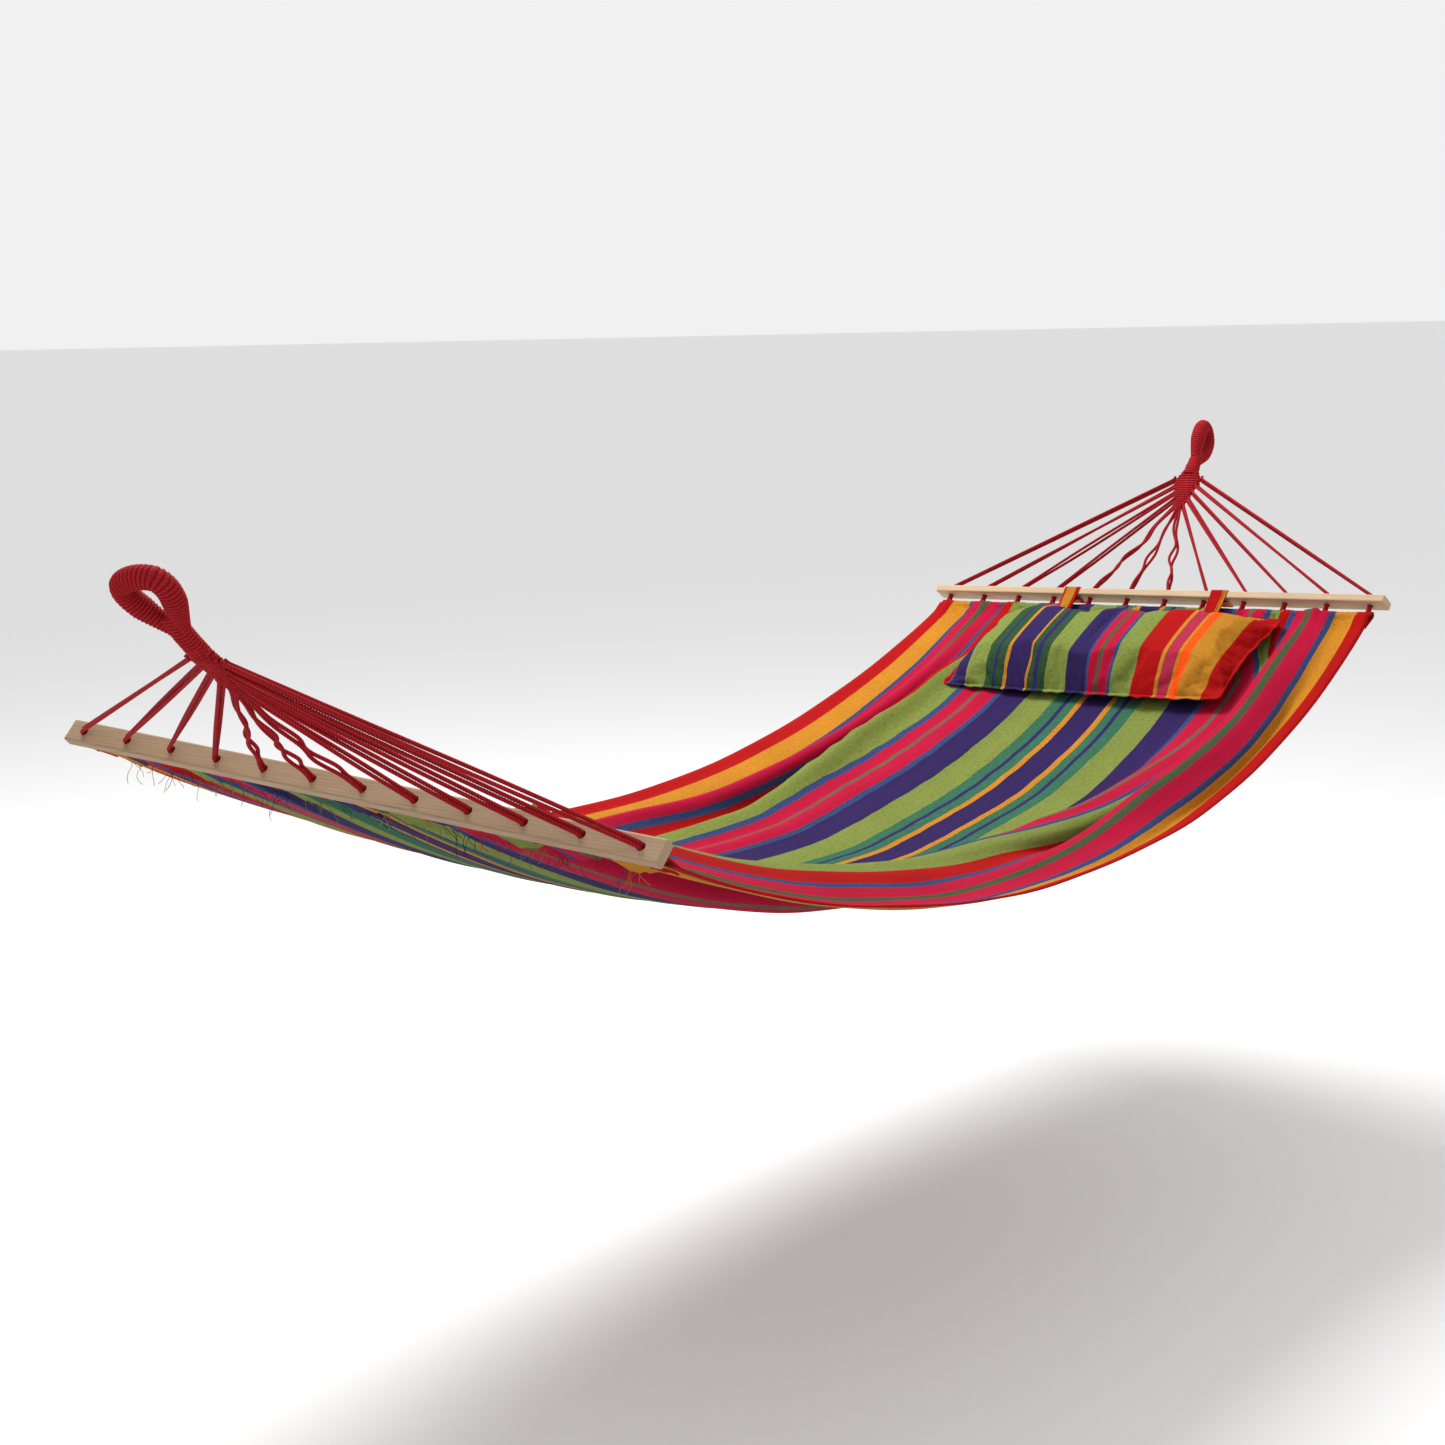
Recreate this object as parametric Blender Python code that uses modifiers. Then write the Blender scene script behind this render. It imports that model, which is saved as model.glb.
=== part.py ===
"""A striped cloth hammock with two wooden spreader bars, two cord harnesses and a pillow.

Metres, +Z up. X runs from the foot end (-X) to the head end (+X). The origin is midway between the two
hanging eyes, at the height where they bear on their hooks.
"""

import math

import bmesh
import bpy
import numpy as np
from mathutils import Matrix, Vector

NAME = "hammock"

# Spreader bars
BAR_LENGTH = 1.0
BAR_WIDTH = 0.033
BAR_THICKNESS = 0.015
BAR_ROUNDING = 0.0025
BAR_SPACING = 2.1
HOLE_COUNT = 12
HOLE_FROM_END = 0.031

# Cords: two strands lie side by side in every hole
STRAND_DIAMETER = 0.005
STRAND_GAP = 0.0004
HOLE_CLEARANCE = 0.0007
HEM_CORD_DIAMETER = 0.006
HEM_CORD_END = 0.020
HEM_REACH = 0.020
BEND_CLEARANCE = 0.0045
WAVES_IN_LEG = 2.5

# Hanging: how far the eyes' hooks are above the bars, and each end's harness
HANG_DROP = 0.285
EYE_LENGTH = 0.128
EYE_TUBE_DIAMETER = 0.029
EYE_NECK_DIAMETER = 0.013
NECK_GAP = 0.0012

# Woven clew under each eye
NECK_DIAMETER = 0.025
WEAVE_TIP = 0.108
WEAVE_STEP = 0.0150
WEAVE_THICKNESS = 0.012

# Bed cloth
CLOTH_THICKNESS = 0.0025
CLOTH_FROM_BAR_END = 0.020
CLOTH_CLEARANCE = 0.0105
EDGE_SAG = 0.242
MIDDLE_SAG = 0.305
SAG_POWER = 2.1
SAG_SHIFT = 0.06

# Pillow and its straps
PILLOW_WIDTH = 0.60
PILLOW_DEPTH = 0.265
PILLOW_CROWN = 0.052
PILLOW_BELLY = 0.008
PILLOW_SEAM = 0.004
PILLOW_LIFT = 0.034
PILLOW_OFF_CENTRE = -0.020
STRAP_WIDTH = 0.034
STRAP_THICKNESS = 0.0016
STRAP_AFTER_HOLE = 4
STRAP_OFF_CENTRE = 0.0055
STRAP_CLEARANCE = 0.0008
STRAP_TAIL = 0.040
HINGE_GAP = 0.0010

# The two ends hang a little unlike each other, as cords and cloth settle
ENDS = {
    "foot": {
        "side": -1,
        "yaw": 0.060,
        "roll": 0.049,
        "out": 0.214,
        "rise": 0.207,
        "eye_lean": math.radians(48.5),
        "eye_turn": math.radians(-1),
        "eye_twist": math.radians(-75),
        "eye_width": 0.088,
        "eye_fullness": 2.05,
        "slack": {4: 0.006, 5: 0.010, 6: 0.009},
    },
    "head": {
        "side": 1,
        "yaw": -0.068,
        "roll": -0.049,
        "out": 0.185,
        "rise": 0.240,
        "eye_lean": math.radians(33),
        "eye_turn": math.radians(12),
        "eye_twist": 0.0,
        "eye_width": 0.074,
        "eye_fullness": 1.5,
        "slack": {4: 0.007, 5: 0.004, 6: 0.006},
    },
}

STRAND_PITCH = STRAND_DIAMETER + STRAND_GAP
HOLE_DIAMETER = STRAND_PITCH + STRAND_DIAMETER + 2 * HOLE_CLEARANCE
BIGHT_RADIUS = HEM_CORD_DIAMETER / 2 + STRAND_GAP + STRAND_DIAMETER / 2
HEM_OFFSET = BAR_THICKNESS / 2 + HEM_REACH
CLOTH_WIDTH = BAR_LENGTH - 2 * CLOTH_FROM_BAR_END

COLOURS = {
    "pine": (0.60, 0.43, 0.26),
    "red_cord": (0.42, 0.01, 0.02),
    "cloth": (0.25, 0.42, 0.10),
    "pillow_cloth": (0.10, 0.06, 0.30),
    "strap_cloth": (0.62, 0.36, 0.05),
}
ROUGHNESS = {"pine": 0.6, "red_cord": 0.85, "cloth": 0.9, "pillow_cloth": 0.9, "strap_cloth": 0.9}


def clear_scene():
    for old in list(bpy.data.objects):
        bpy.data.objects.remove(old, do_unlink=True)


def make_collection(name):
    collection = bpy.data.collections.new(name)
    bpy.context.scene.collection.children.link(collection)
    return collection


def make_material(name):
    material = bpy.data.materials.new(name)
    material.use_nodes = True
    shader = material.node_tree.nodes["Principled BSDF"]
    shader.inputs["Base Color"].default_value = (*COLOURS[name], 1.0)
    shader.inputs["Roughness"].default_value = ROUGHNESS[name]
    shader.inputs["Metallic"].default_value = 0.0
    return material


def unit(vector):
    return vector / np.linalg.norm(vector)


def hole_offset(index):
    """How far a hole is from the bar's middle, counted from its +Y end; 0.5 is midway between two."""
    pitch = (BAR_LENGTH - 2 * HOLE_FROM_END) / (HOLE_COUNT - 1)
    return BAR_LENGTH / 2 - HOLE_FROM_END - index * pitch


class End:
    """One end's bar axes: across is along the bar, pull points to the neck, lift is square to both."""

    def __init__(self, name):
        self.name = name
        self.settings = ENDS[name]
        yaw = self.settings["yaw"]
        roll = self.settings["roll"]
        side = self.settings["side"]
        self.side = side
        level = math.cos(roll)
        self.across = np.array([-math.sin(yaw) * level, math.cos(yaw) * level, math.sin(roll)])
        self.centre = np.array([side * BAR_SPACING / 2, 0.0, -HANG_DROP])
        self.neck = self.centre + np.array([side * self.settings["out"], 0.0, self.settings["rise"]])
        to_neck = self.neck - self.centre
        self.pull = unit(to_neck - self.across * np.dot(to_neck, self.across))
        self.lift = unit(np.cross(self.across, self.pull)) * -side

    def hole(self, index):
        """The middle of a hole, counted from the bar's +Y end."""
        return self.centre + self.across * hole_offset(index)

    def hem_point(self, offset):
        """A point on the hem cord's line, offset along the bar from its middle."""
        return self.centre + self.across * offset - self.pull * HEM_OFFSET

    def weave_exit(self, index):
        """Where a cord leaves the weave: outer cords leave high and wide, middle ones at the tip."""
        from_middle = (HOLE_COUNT - 1) / 2 - index
        step = abs(from_middle) - 0.5
        offset = math.copysign((step + 0.5) * STRAND_PITCH, from_middle)
        return self.neck - self.pull * (WEAVE_TIP - step * WEAVE_STEP) + self.across * offset


def add_object(name, data, collection, material):
    result = bpy.data.objects.new(name, data)
    collection.objects.link(result)
    if material is not None:
        data.materials.append(material)
    return result


def frame_matrix(origin, x_axis, y_axis, z_axis):
    columns = [Vector(x_axis), Vector(y_axis), Vector(z_axis)]
    matrix = Matrix((columns[0], columns[1], columns[2])).transposed().to_4x4()
    matrix.translation = Vector(origin)
    return matrix


def tube(name, points, diameter, collection, material, radii=None, cyclic=False, sides=2):
    """A round cord through points, as a poly curve with a bevel and filled caps."""
    curve = bpy.data.curves.new(name, "CURVE")
    curve.dimensions = "3D"
    curve.bevel_depth = diameter / 2
    curve.bevel_resolution = sides
    curve.use_fill_caps = not cyclic
    spline = curve.splines.new("POLY")
    spline.points.add(len(points) - 1)
    for index, point in enumerate(points):
        spline.points[index].co = (*point, 1.0)
        spline.points[index].radius = 1.0 if radii is None else radii[index]
    spline.use_cyclic_u = cyclic
    spline.use_smooth = True
    return add_object(name, curve, collection, material)


def add_modifier(target, kind, **settings):
    modifier = target.modifiers.new(kind.title(), kind)
    for key, value in settings.items():
        setattr(modifier, key, value)
    return modifier


def mesh_object(name, bm, collection, material):
    mesh = bpy.data.meshes.new(name)
    bm.to_mesh(mesh)
    bm.free()
    return add_object(name, mesh, collection, material)


def make_bar(end, collection, cutters, material):
    """A rounded wooden bar with a row of holes for the cords."""
    bm = bmesh.new()
    bmesh.ops.create_cube(bm, size=1.0)
    bmesh.ops.scale(bm, vec=(BAR_LENGTH, BAR_WIDTH, BAR_THICKNESS), verts=bm.verts)
    placed = frame_matrix(end.centre, end.across, end.lift * end.side, end.pull)
    bar = mesh_object(end.name + "_bar", bm, collection, material)
    bar.matrix_world = placed
    add_modifier(bar, "BEVEL", width=BAR_ROUNDING, segments=2)

    cutter_mesh = bmesh.new()
    for index in range(HOLE_COUNT):
        hole = end.hole(index) - end.centre
        place = Matrix.Translation((float(np.dot(hole, end.across)), 0.0, 0.0))
        bmesh.ops.create_cone(
            cutter_mesh,
            cap_ends=True,
            segments=16,
            radius1=HOLE_DIAMETER / 2,
            radius2=HOLE_DIAMETER / 2,
            depth=BAR_THICKNESS * 2,
            matrix=place,
        )
    cutter = mesh_object(end.name + "_bar_holes", cutter_mesh, cutters, None)
    cutter.matrix_world = placed
    cutter.hide_render = True
    cutter.display_type = "WIRE"
    add_modifier(bar, "BOOLEAN", object=cutter, operation="DIFFERENCE", solver="EXACT")
    return bar


def leg_points(start, stop, amplitude, across, lift):
    """A cord's run from the weave to its hole; a slack one wanders in waves that die out at its ends."""
    count = 9 if amplitude else 3
    share = np.linspace(0.0, 1.0, count)[:, None]
    line = start + (stop - start) * share
    fade = np.sin(np.pi * share)
    sway = np.sin(2 * np.pi * WAVES_IN_LEG * share) * fade * amplitude
    bow = np.sin(np.pi * share) * fade * amplitude
    return line + across * sway - lift * bow * 0.6


def cord_route(end, index):
    """Weave, hole, round the hem cord, and back through the same hole to the weave."""
    hole = end.hole(index)
    half = STRAND_PITCH / 2
    amplitude = end.settings["slack"].get(index, 0.0)
    leave = end.weave_exit(index)
    bend = hole + end.pull * (BAR_THICKNESS / 2 + BEND_CLEARANCE)
    inner = hole - end.pull * (BAR_THICKNESS / 2 + HOLE_CLEARANCE)
    hem = hole - end.pull * HEM_OFFSET
    upper = leg_points(leave, bend, amplitude, end.across, end.lift) + end.lift * half
    lower = leg_points(leave, bend, -amplitude, end.across, -end.lift) - end.lift * half
    turn = np.radians([80.0, 40.0, 0.0, -40.0, -80.0])[:, None]
    bight = hem + BIGHT_RADIUS * (-end.pull * np.cos(turn) + end.lift * np.sin(turn))
    return np.vstack([upper, [inner + end.lift * half], bight, [inner - end.lift * half], lower[::-1]])


def make_cords(end, collection, material):
    for index in range(HOLE_COUNT):
        name = f"{end.name}_cord_{index + 1:02d}"
        tube(name, cord_route(end, index), STRAND_DIAMETER, collection, material)


def make_hem_cord(end, collection, material):
    """The cord inside the cloth's end hem, which all twelve cords go round."""
    reach = BAR_LENGTH / 2 - HEM_CORD_END
    points = [end.hem_point(offset) for offset in np.linspace(-reach, reach, 5)]
    tube(end.name + "_hem_cord", points, HEM_CORD_DIAMETER, collection, material)


def eye_axes(end):
    """The eye's own axes: along it from the neck to the crown, and sideways in the plane of its opening.

    Each eye has settled on its hook with its own twist about its length.
    """
    lean = end.settings["eye_lean"]
    turn = end.settings["eye_turn"]
    level = math.cos(lean)
    along = np.array([end.side * level * math.cos(turn), level * math.sin(turn), math.sin(lean)])
    upright = unit(np.cross([0.0, 1.0, 0.0], along))
    twist = end.settings["eye_twist"]
    sideways = upright * math.cos(twist) + np.cross(along, upright) * math.sin(twist)
    return along, sideways


def eye_start(end, along):
    """The eye's inner end stands off the neck's upright plane, so that the harness can turn under it."""
    return end.neck + along * ((NECK_GAP + EYE_NECK_DIAMETER) / abs(along[0]))


def make_eye(end, collection, material):
    """A teardrop ring, thick at the crown and thin where its two legs meet at the neck."""
    along, sideways = eye_axes(end)
    start = eye_start(end, along)
    angle = np.linspace(0.0, 2 * np.pi, 32, endpoint=False)
    share = (1 - np.cos(angle)) / 2
    thick = EYE_NECK_DIAMETER + (EYE_TUBE_DIAMETER - EYE_NECK_DIAMETER) * np.clip(share * 2, 0, 1) ** 0.8
    reach = EYE_LENGTH - EYE_TUBE_DIAMETER / 2 - np.linalg.norm(start - end.neck)
    half_width = (end.settings["eye_width"] - EYE_TUBE_DIAMETER) / 2
    leg = EYE_NECK_DIAMETER * 0.55
    drop = np.sin(angle) * np.abs(np.sin(angle / 2)) ** end.settings["eye_fullness"]
    side = (half_width - leg) * drop / np.abs(drop).max() + leg * np.clip(np.sin(angle) * 2, -1, 1)
    points = start + np.outer(share * reach, along) + np.outer(side, sideways)
    tube(
        end.name + "_eye",
        points,
        EYE_TUBE_DIAMETER,
        collection,
        material,
        radii=thick / EYE_TUBE_DIAMETER,
        cyclic=True,
        sides=3,
    )


def weave_sections(end):
    """Half width, half thickness and distance below the neck of the weave's sections."""
    inset = STRAND_DIAMETER * 0.75
    outer_step = HOLE_COUNT / 2 - 1
    widest = (outer_step + 0.5) * STRAND_PITCH - inset
    shoulder = WEAVE_TIP - outer_step * WEAVE_STEP
    neck = NECK_DIAMETER / 2
    flat = WEAVE_THICKNESS / 2
    foot = WEAVE_TIP - inset * 1.6
    return [
        (neck, neck, 0.0),
        (widest * 0.90, flat * 1.25, shoulder - 0.006),
        (widest * 0.97, flat, shoulder),
        (widest * 0.62, flat, shoulder + (foot - shoulder) * 0.45),
        (STRAND_DIAMETER * 0.45, flat * 0.8, foot),
    ]


def make_weave(end, collection, material):
    """A flat diamond of woven cord: its upper end is cut by the upright plane through the neck."""
    sides = 12
    bm = bmesh.new()
    rings = []
    angles = np.linspace(0, 2 * np.pi, sides, endpoint=False)
    for number, (half_width, half_thick, below) in enumerate(weave_sections(end)):
        middle = end.neck - end.pull * below
        ring = []
        for angle in angles:
            point = middle + end.across * math.cos(angle) * half_width
            point = point + end.lift * math.sin(angle) * half_thick
            if number == 0:
                travel = (end.neck[0] - end.side * NECK_GAP - point[0]) / end.pull[0]
                point = point + end.pull * travel
            ring.append(bm.verts.new(Vector(point)))
        rings.append(ring)
    for first, second in zip(rings, rings[1:]):
        for index in range(sides):
            after = (index + 1) % sides
            bm.faces.new((first[index], first[after], second[after], second[index]))
    bm.faces.new(rings[0])
    bm.faces.new(rings[-1])
    bm.normal_update()
    bmesh.ops.recalc_face_normals(bm, faces=bm.faces)
    mesh_object(end.name + "_clew_weave", bm, collection, material)


def bed_point(foot, head, along, across):
    """The cloth's middle surface: along is 0 at the foot hem and 1 at the head hem, across is -1 to 1."""
    place = 2 * along - 1
    sag_share = 1 - abs(place + SAG_SHIFT * across * (1 - place**2)) ** SAG_POWER
    offset = across * CLOTH_WIDTH / 2
    start = foot.hem_point(offset)
    stop = head.hem_point(offset)
    inward = np.array([1.0, 0.0, -2 * SAG_POWER * MIDDLE_SAG / BAR_SPACING])
    start = start + unit(inward) * CLOTH_CLEARANCE
    stop = stop + unit(inward * (-1, 1, 1)) * CLOTH_CLEARANCE
    point = start + (stop - start) * along
    point[2] -= (MIDDLE_SAG + (EDGE_SAG - MIDDLE_SAG) * across**2) * sag_share
    return point


def make_bed(foot, head, collection, material):
    """The cloth: a grid draped between the two hems and given its thickness."""
    bm = bmesh.new()
    bmesh.ops.create_grid(bm, x_segments=24, y_segments=10, size=1.0)
    for vertex in bm.verts:
        vertex.co = Vector(bed_point(foot, head, (vertex.co.x + 1) / 2, vertex.co.y))
    bed = mesh_object("bed_cloth", bm, collection, material)
    add_modifier(bed, "SOLIDIFY", thickness=CLOTH_THICKNESS, offset=0.0, use_even_offset=True)


def pillow_hinge(head):
    """The top seam of the pillow, where it meets its two straps."""
    corner = head.centre + head.lift * (BAR_WIDTH / 2 + STRAP_CLEARANCE + STRAP_THICKNESS)
    corner = corner - head.pull * (BAR_THICKNESS / 2 + STRAP_CLEARANCE)
    inward = np.array([-1.0, 0.0, -1.0])
    inward = unit(inward - head.across * np.dot(inward, head.across))
    return corner + inward * (STRAP_TAIL + HINGE_GAP), inward


def pillow_axes(foot, head):
    """The pillow's run down from its hinge to a point just above the cloth, and its upper side."""
    hinge, _ = pillow_hinge(head)
    target = bed_point(foot, head, 1 - PILLOW_DEPTH / BAR_SPACING, 0.0) + np.array([0.0, 0.0, PILLOW_LIFT])
    down = target - hinge
    down = unit(down - head.across * np.dot(down, head.across))
    up = unit(np.cross(head.across, down)) * head.side
    return down, up


def make_pillow(foot, head, collection, material):
    """A crowned cushion, flat below, with a thin seam all round; its origin is on the hinge axis."""
    hinge, _ = pillow_hinge(head)
    down, up = pillow_axes(foot, head)
    bm = bmesh.new()
    bmesh.ops.create_cube(bm, size=2.0)
    bmesh.ops.subdivide_edges(bm, edges=bm.edges, cuts=7, use_grid_fill=True)
    for vertex in bm.verts:
        wide, deep, height = vertex.co
        full = math.sqrt(max(0.0, (1 - wide**4) * (1 - deep**4)))
        swell = PILLOW_CROWN if height > 0 else PILLOW_BELLY
        vertex.co.x = PILLOW_OFF_CENTRE + wide * PILLOW_WIDTH / 2
        vertex.co.y = HINGE_GAP + (deep + 1) * PILLOW_DEPTH / 2
        vertex.co.z = height * (PILLOW_SEAM / 2 + swell * full)
    pillow = mesh_object("pillow", bm, collection, material)
    pillow.matrix_world = frame_matrix(hinge, np.cross(down, up), down, up)


def strap_outline(inner_u, inner_v, tail_direction):
    """A strap seen along the bar, as (pull, lift) pairs: a loop round the bar and a tail to the pillow."""
    outer_u = inner_u + STRAP_THICKNESS
    outer_v = inner_v + STRAP_THICKNESS
    tail = np.array(tail_direction)
    square = np.array([-tail[1], tail[0]])
    corner = np.array([-inner_u, outer_v])
    end = corner + tail * STRAP_TAIL
    root = corner - np.array([STRAP_THICKNESS, 2 * STRAP_THICKNESS])
    far = end + square * STRAP_THICKNESS * math.copysign(1.0, np.dot(square, root - corner))
    outer = [
        (-inner_u, outer_v),
        (outer_u, outer_v),
        (outer_u, -outer_v),
        (-outer_u, -outer_v),
        tuple(root),
        tuple(far),
        tuple(end),
    ]
    inner = [(-inner_u, inner_v), (-inner_u, -inner_v), (inner_u, -inner_v), (inner_u, inner_v)]
    return outer, inner


def make_strap(head, number, offset, collection, material):
    """A cloth strap looped over the head bar, as a flat outline pulled out to the strap's width."""
    _, inward = pillow_hinge(head)
    tail = (float(np.dot(inward, head.pull)), float(np.dot(inward, head.lift)))
    loops = strap_outline(
        BAR_THICKNESS / 2 + STRAP_CLEARANCE,
        BAR_WIDTH / 2 + STRAP_CLEARANCE,
        tail,
    )
    curve = bpy.data.curves.new(f"pillow_strap_{number}", "CURVE")
    curve.dimensions = "2D"
    curve.fill_mode = "BOTH"
    curve.extrude = STRAP_WIDTH / 2
    for loop in loops:
        spline = curve.splines.new("POLY")
        spline.points.add(len(loop) - 1)
        for index, (u, v) in enumerate(loop):
            spline.points[index].co = (u, v, 0.0, 1.0)
        spline.use_cyclic_u = True
    strap = add_object(curve.name, curve, collection, material)
    middle = head.centre + head.across * offset
    strap.matrix_world = frame_matrix(middle, head.pull, head.lift, np.cross(head.pull, head.lift))


def make_pivot(name, place, collection):
    """An empty on a joint's axis, which carries what turns or slides there."""
    pivot = bpy.data.objects.new(name, None)
    collection.objects.link(pivot)
    pivot.location = place
    return pivot


def carry(pivot, pieces):
    """Parents the pieces to the pivot and leaves them where they are."""
    bpy.context.view_layer.update()
    for piece in pieces:
        piece.parent = pivot
        piece.matrix_parent_inverse = pivot.matrix_world.inverted()


def main():
    clear_scene()
    parts = make_collection(NAME)
    cutters = make_collection(NAME + "_cutters")
    materials = {name: make_material(name) for name in COLOURS}
    foot = End("foot")
    head = End("head")
    for end in (foot, head):
        make_bar(end, parts, cutters, materials["pine"])
        make_cords(end, parts, materials["red_cord"])
        make_hem_cord(end, parts, materials["red_cord"])
        make_weave(end, parts, materials["red_cord"])
        make_eye(end, parts, materials["red_cord"])
    make_bed(foot, head, parts, materials["cloth"])
    make_pillow(foot, head, parts, materials["pillow_cloth"])
    strap_offset = hole_offset(STRAP_AFTER_HOLE - 0.5) - STRAP_OFF_CENTRE
    make_strap(head, 1, strap_offset, parts, materials["strap_cloth"])
    make_strap(head, 2, -strap_offset, parts, materials["strap_cloth"])

    swing = make_pivot("swing_pivot", foot.neck, parts)
    still = {"foot_eye", "head_eye", swing.name}
    carry(swing, [piece for piece in parts.objects if piece.name not in still])
    hinge, _ = pillow_hinge(head)
    flip = make_pivot("pillow_pivot", hinge, parts)
    carry(swing, [flip])
    riders = ("pillow", "pillow_strap_1", "pillow_strap_2")
    carry(flip, [parts.objects[name] for name in riders])


main()
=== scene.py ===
"""Looks of the striped cloth hammock: laid cords, wound eyes, woven clews, folded cloth, a stuffed pillow.

Metres, in the frame of the CAD model: X runs from the foot end to the head end, Z is up.
"""

import math

import bpy
import numpy as np
from mathutils import Matrix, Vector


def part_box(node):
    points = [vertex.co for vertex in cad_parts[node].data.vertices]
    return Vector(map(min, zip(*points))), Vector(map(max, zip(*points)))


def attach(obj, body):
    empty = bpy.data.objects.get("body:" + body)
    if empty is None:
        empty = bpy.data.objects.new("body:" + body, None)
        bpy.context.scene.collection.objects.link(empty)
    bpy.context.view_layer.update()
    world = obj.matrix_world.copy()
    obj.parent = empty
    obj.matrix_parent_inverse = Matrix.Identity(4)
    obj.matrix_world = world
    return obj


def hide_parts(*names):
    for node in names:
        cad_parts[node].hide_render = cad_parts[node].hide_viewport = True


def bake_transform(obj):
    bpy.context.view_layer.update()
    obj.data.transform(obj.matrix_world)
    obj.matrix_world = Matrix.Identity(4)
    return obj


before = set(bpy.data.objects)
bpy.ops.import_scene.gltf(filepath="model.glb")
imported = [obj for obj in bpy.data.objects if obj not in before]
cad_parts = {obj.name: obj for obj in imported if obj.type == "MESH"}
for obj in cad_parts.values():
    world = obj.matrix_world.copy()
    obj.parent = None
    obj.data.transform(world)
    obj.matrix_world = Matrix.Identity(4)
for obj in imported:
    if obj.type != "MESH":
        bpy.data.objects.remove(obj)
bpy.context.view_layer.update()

# Sizes that the looks share with the solids
BAR_LENGTH = 1.0
BAR_WIDTH = 0.033
BAR_THICKNESS = 0.015
BAR_SPACING = 2.1
HOLE_COUNT = 12
HOLE_FROM_END = 0.031
STRAND_DIAMETER = 0.005
STRAND_PITCH = 0.0054
HOLE_CLEARANCE = 0.0007
BIGHT_RADIUS = 0.0059
HEM_OFFSET = 0.0275
BEND_CLEARANCE = 0.0045
WAVES_IN_LEG = 2.5
EYE_LENGTH = 0.128
EYE_TUBE_DIAMETER = 0.029
EYE_NECK_DIAMETER = 0.013
NECK_GAP = 0.0012
WEAVE_TIP = 0.108
WEAVE_STEP = 0.0150
CLOTH_CLEARANCE = 0.0105
CLOTH_WIDTH = 0.96
EDGE_SAG = 0.242
MIDDLE_SAG = 0.305
SAG_POWER = 2.1
SAG_SHIFT = 0.06
PILLOW_WIDTH = 0.60
PILLOW_DEPTH = 0.265
PILLOW_CROWN = 0.052
PILLOW_BELLY = 0.008
PILLOW_LIFT = 0.034
PILLOW_OFF_CENTRE = -0.020
STRAP_WIDTH = 0.034
STRAP_THICKNESS = 0.0016
STRAP_CLEARANCE = 0.0008
STRAP_TAIL = 0.040
HINGE_GAP = 0.0010
ENDS = {
    "foot": {"side": -1, "yaw": 0.060, "roll": 0.049, "out": 0.214, "rise": 0.207, "lean": 48.5, "turn": -1},
    "head": {"side": 1, "yaw": -0.068, "roll": -0.049, "out": 0.185, "rise": 0.240, "lean": 33, "turn": 12},
}
EYES = {
    "foot": {"twist": -75, "width": 0.088, "fullness": 2.05},
    "head": {"twist": 0, "width": 0.074, "fullness": 1.5},
}
# How far the slack cords sway, by their number from the first hole
SLACK = {"foot": {4: 0.006, 5: 0.010, 6: 0.009}, "head": {4: 0.007, 5: 0.004, 6: 0.006}}
# How the two strands of each cord turn about each other at the clew, and how far they part on the way
QUARTER_TURNS = (0.4, -1, 1, 0.6, -1, 2, 1, -0.6, 1, -0.4, 0.5, -0.4)
STRAND_PARTING = (0.02, 0.25, 0.5, 0.3, 0.1, 0.1, 0.3, 0.3, 0.1, 0.25, 0.1, 0.4)

# Sizes of the looks alone
LAY_PITCH = 0.0112
WINDING_PITCH = 0.0049
WINDING_SINK = 0.0026
WINDING_HEIGHT = 0.0030
BASKET_RELIEF = 0.0042
BASKET_LEVEL = 0.80
BED_ARC = 2.35
HEM_REACH = 0.034
PILLOW_SINK = 0.011
STUFFING_LIMIT = 0.016
SEAM_STEP = 0.0035
THREAD_RADIUS = 0.00045
FLOOR_HEIGHT = -1.25
FLOOR_HALF = 160.0

# Finishes, as linear colours
DYES = {
    "red": (0.34, 0.003, 0.003),
    "yellow": (0.45, 0.215, 0.016),
    "blue": (0.030, 0.060, 0.17),
    "pink": (0.39, 0.005, 0.040),
    "dark_green": (0.050, 0.090, 0.038),
    "light_green": (0.165, 0.245, 0.050),
    "grey_green": (0.11, 0.10, 0.060),
    "purple": (0.024, 0.014, 0.092),
    "navy": (0.022, 0.020, 0.105),
    "teal": (0.030, 0.14, 0.080),
    "bottle_green": (0.020, 0.068, 0.030),
    "orange": (0.80, 0.085, 0.004),
    "magenta": (0.36, 0.024, 0.060),
    "ochre": (0.40, 0.195, 0.016),
}
# Stripes of the bed from its middle to its edge, the same on both sides: width in millimetres and dye
BED_STRIPES = (
    (24, "purple"), (14, "yellow"), (18, "teal"), (10, "navy"), (24, "teal"), (62, "light_green"),
    (57, "purple"), (12, "blue"), (36, "pink"), (9, "grey_green"), (30, "pink"), (13, "blue"),
    (62, "light_green"), (44, "red"), (13, "blue"), (35, "pink"), (15, "dark_green"), (36, "pink"),
    (13, "blue"), (50, "yellow"), (35, "red"),
)
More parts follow.
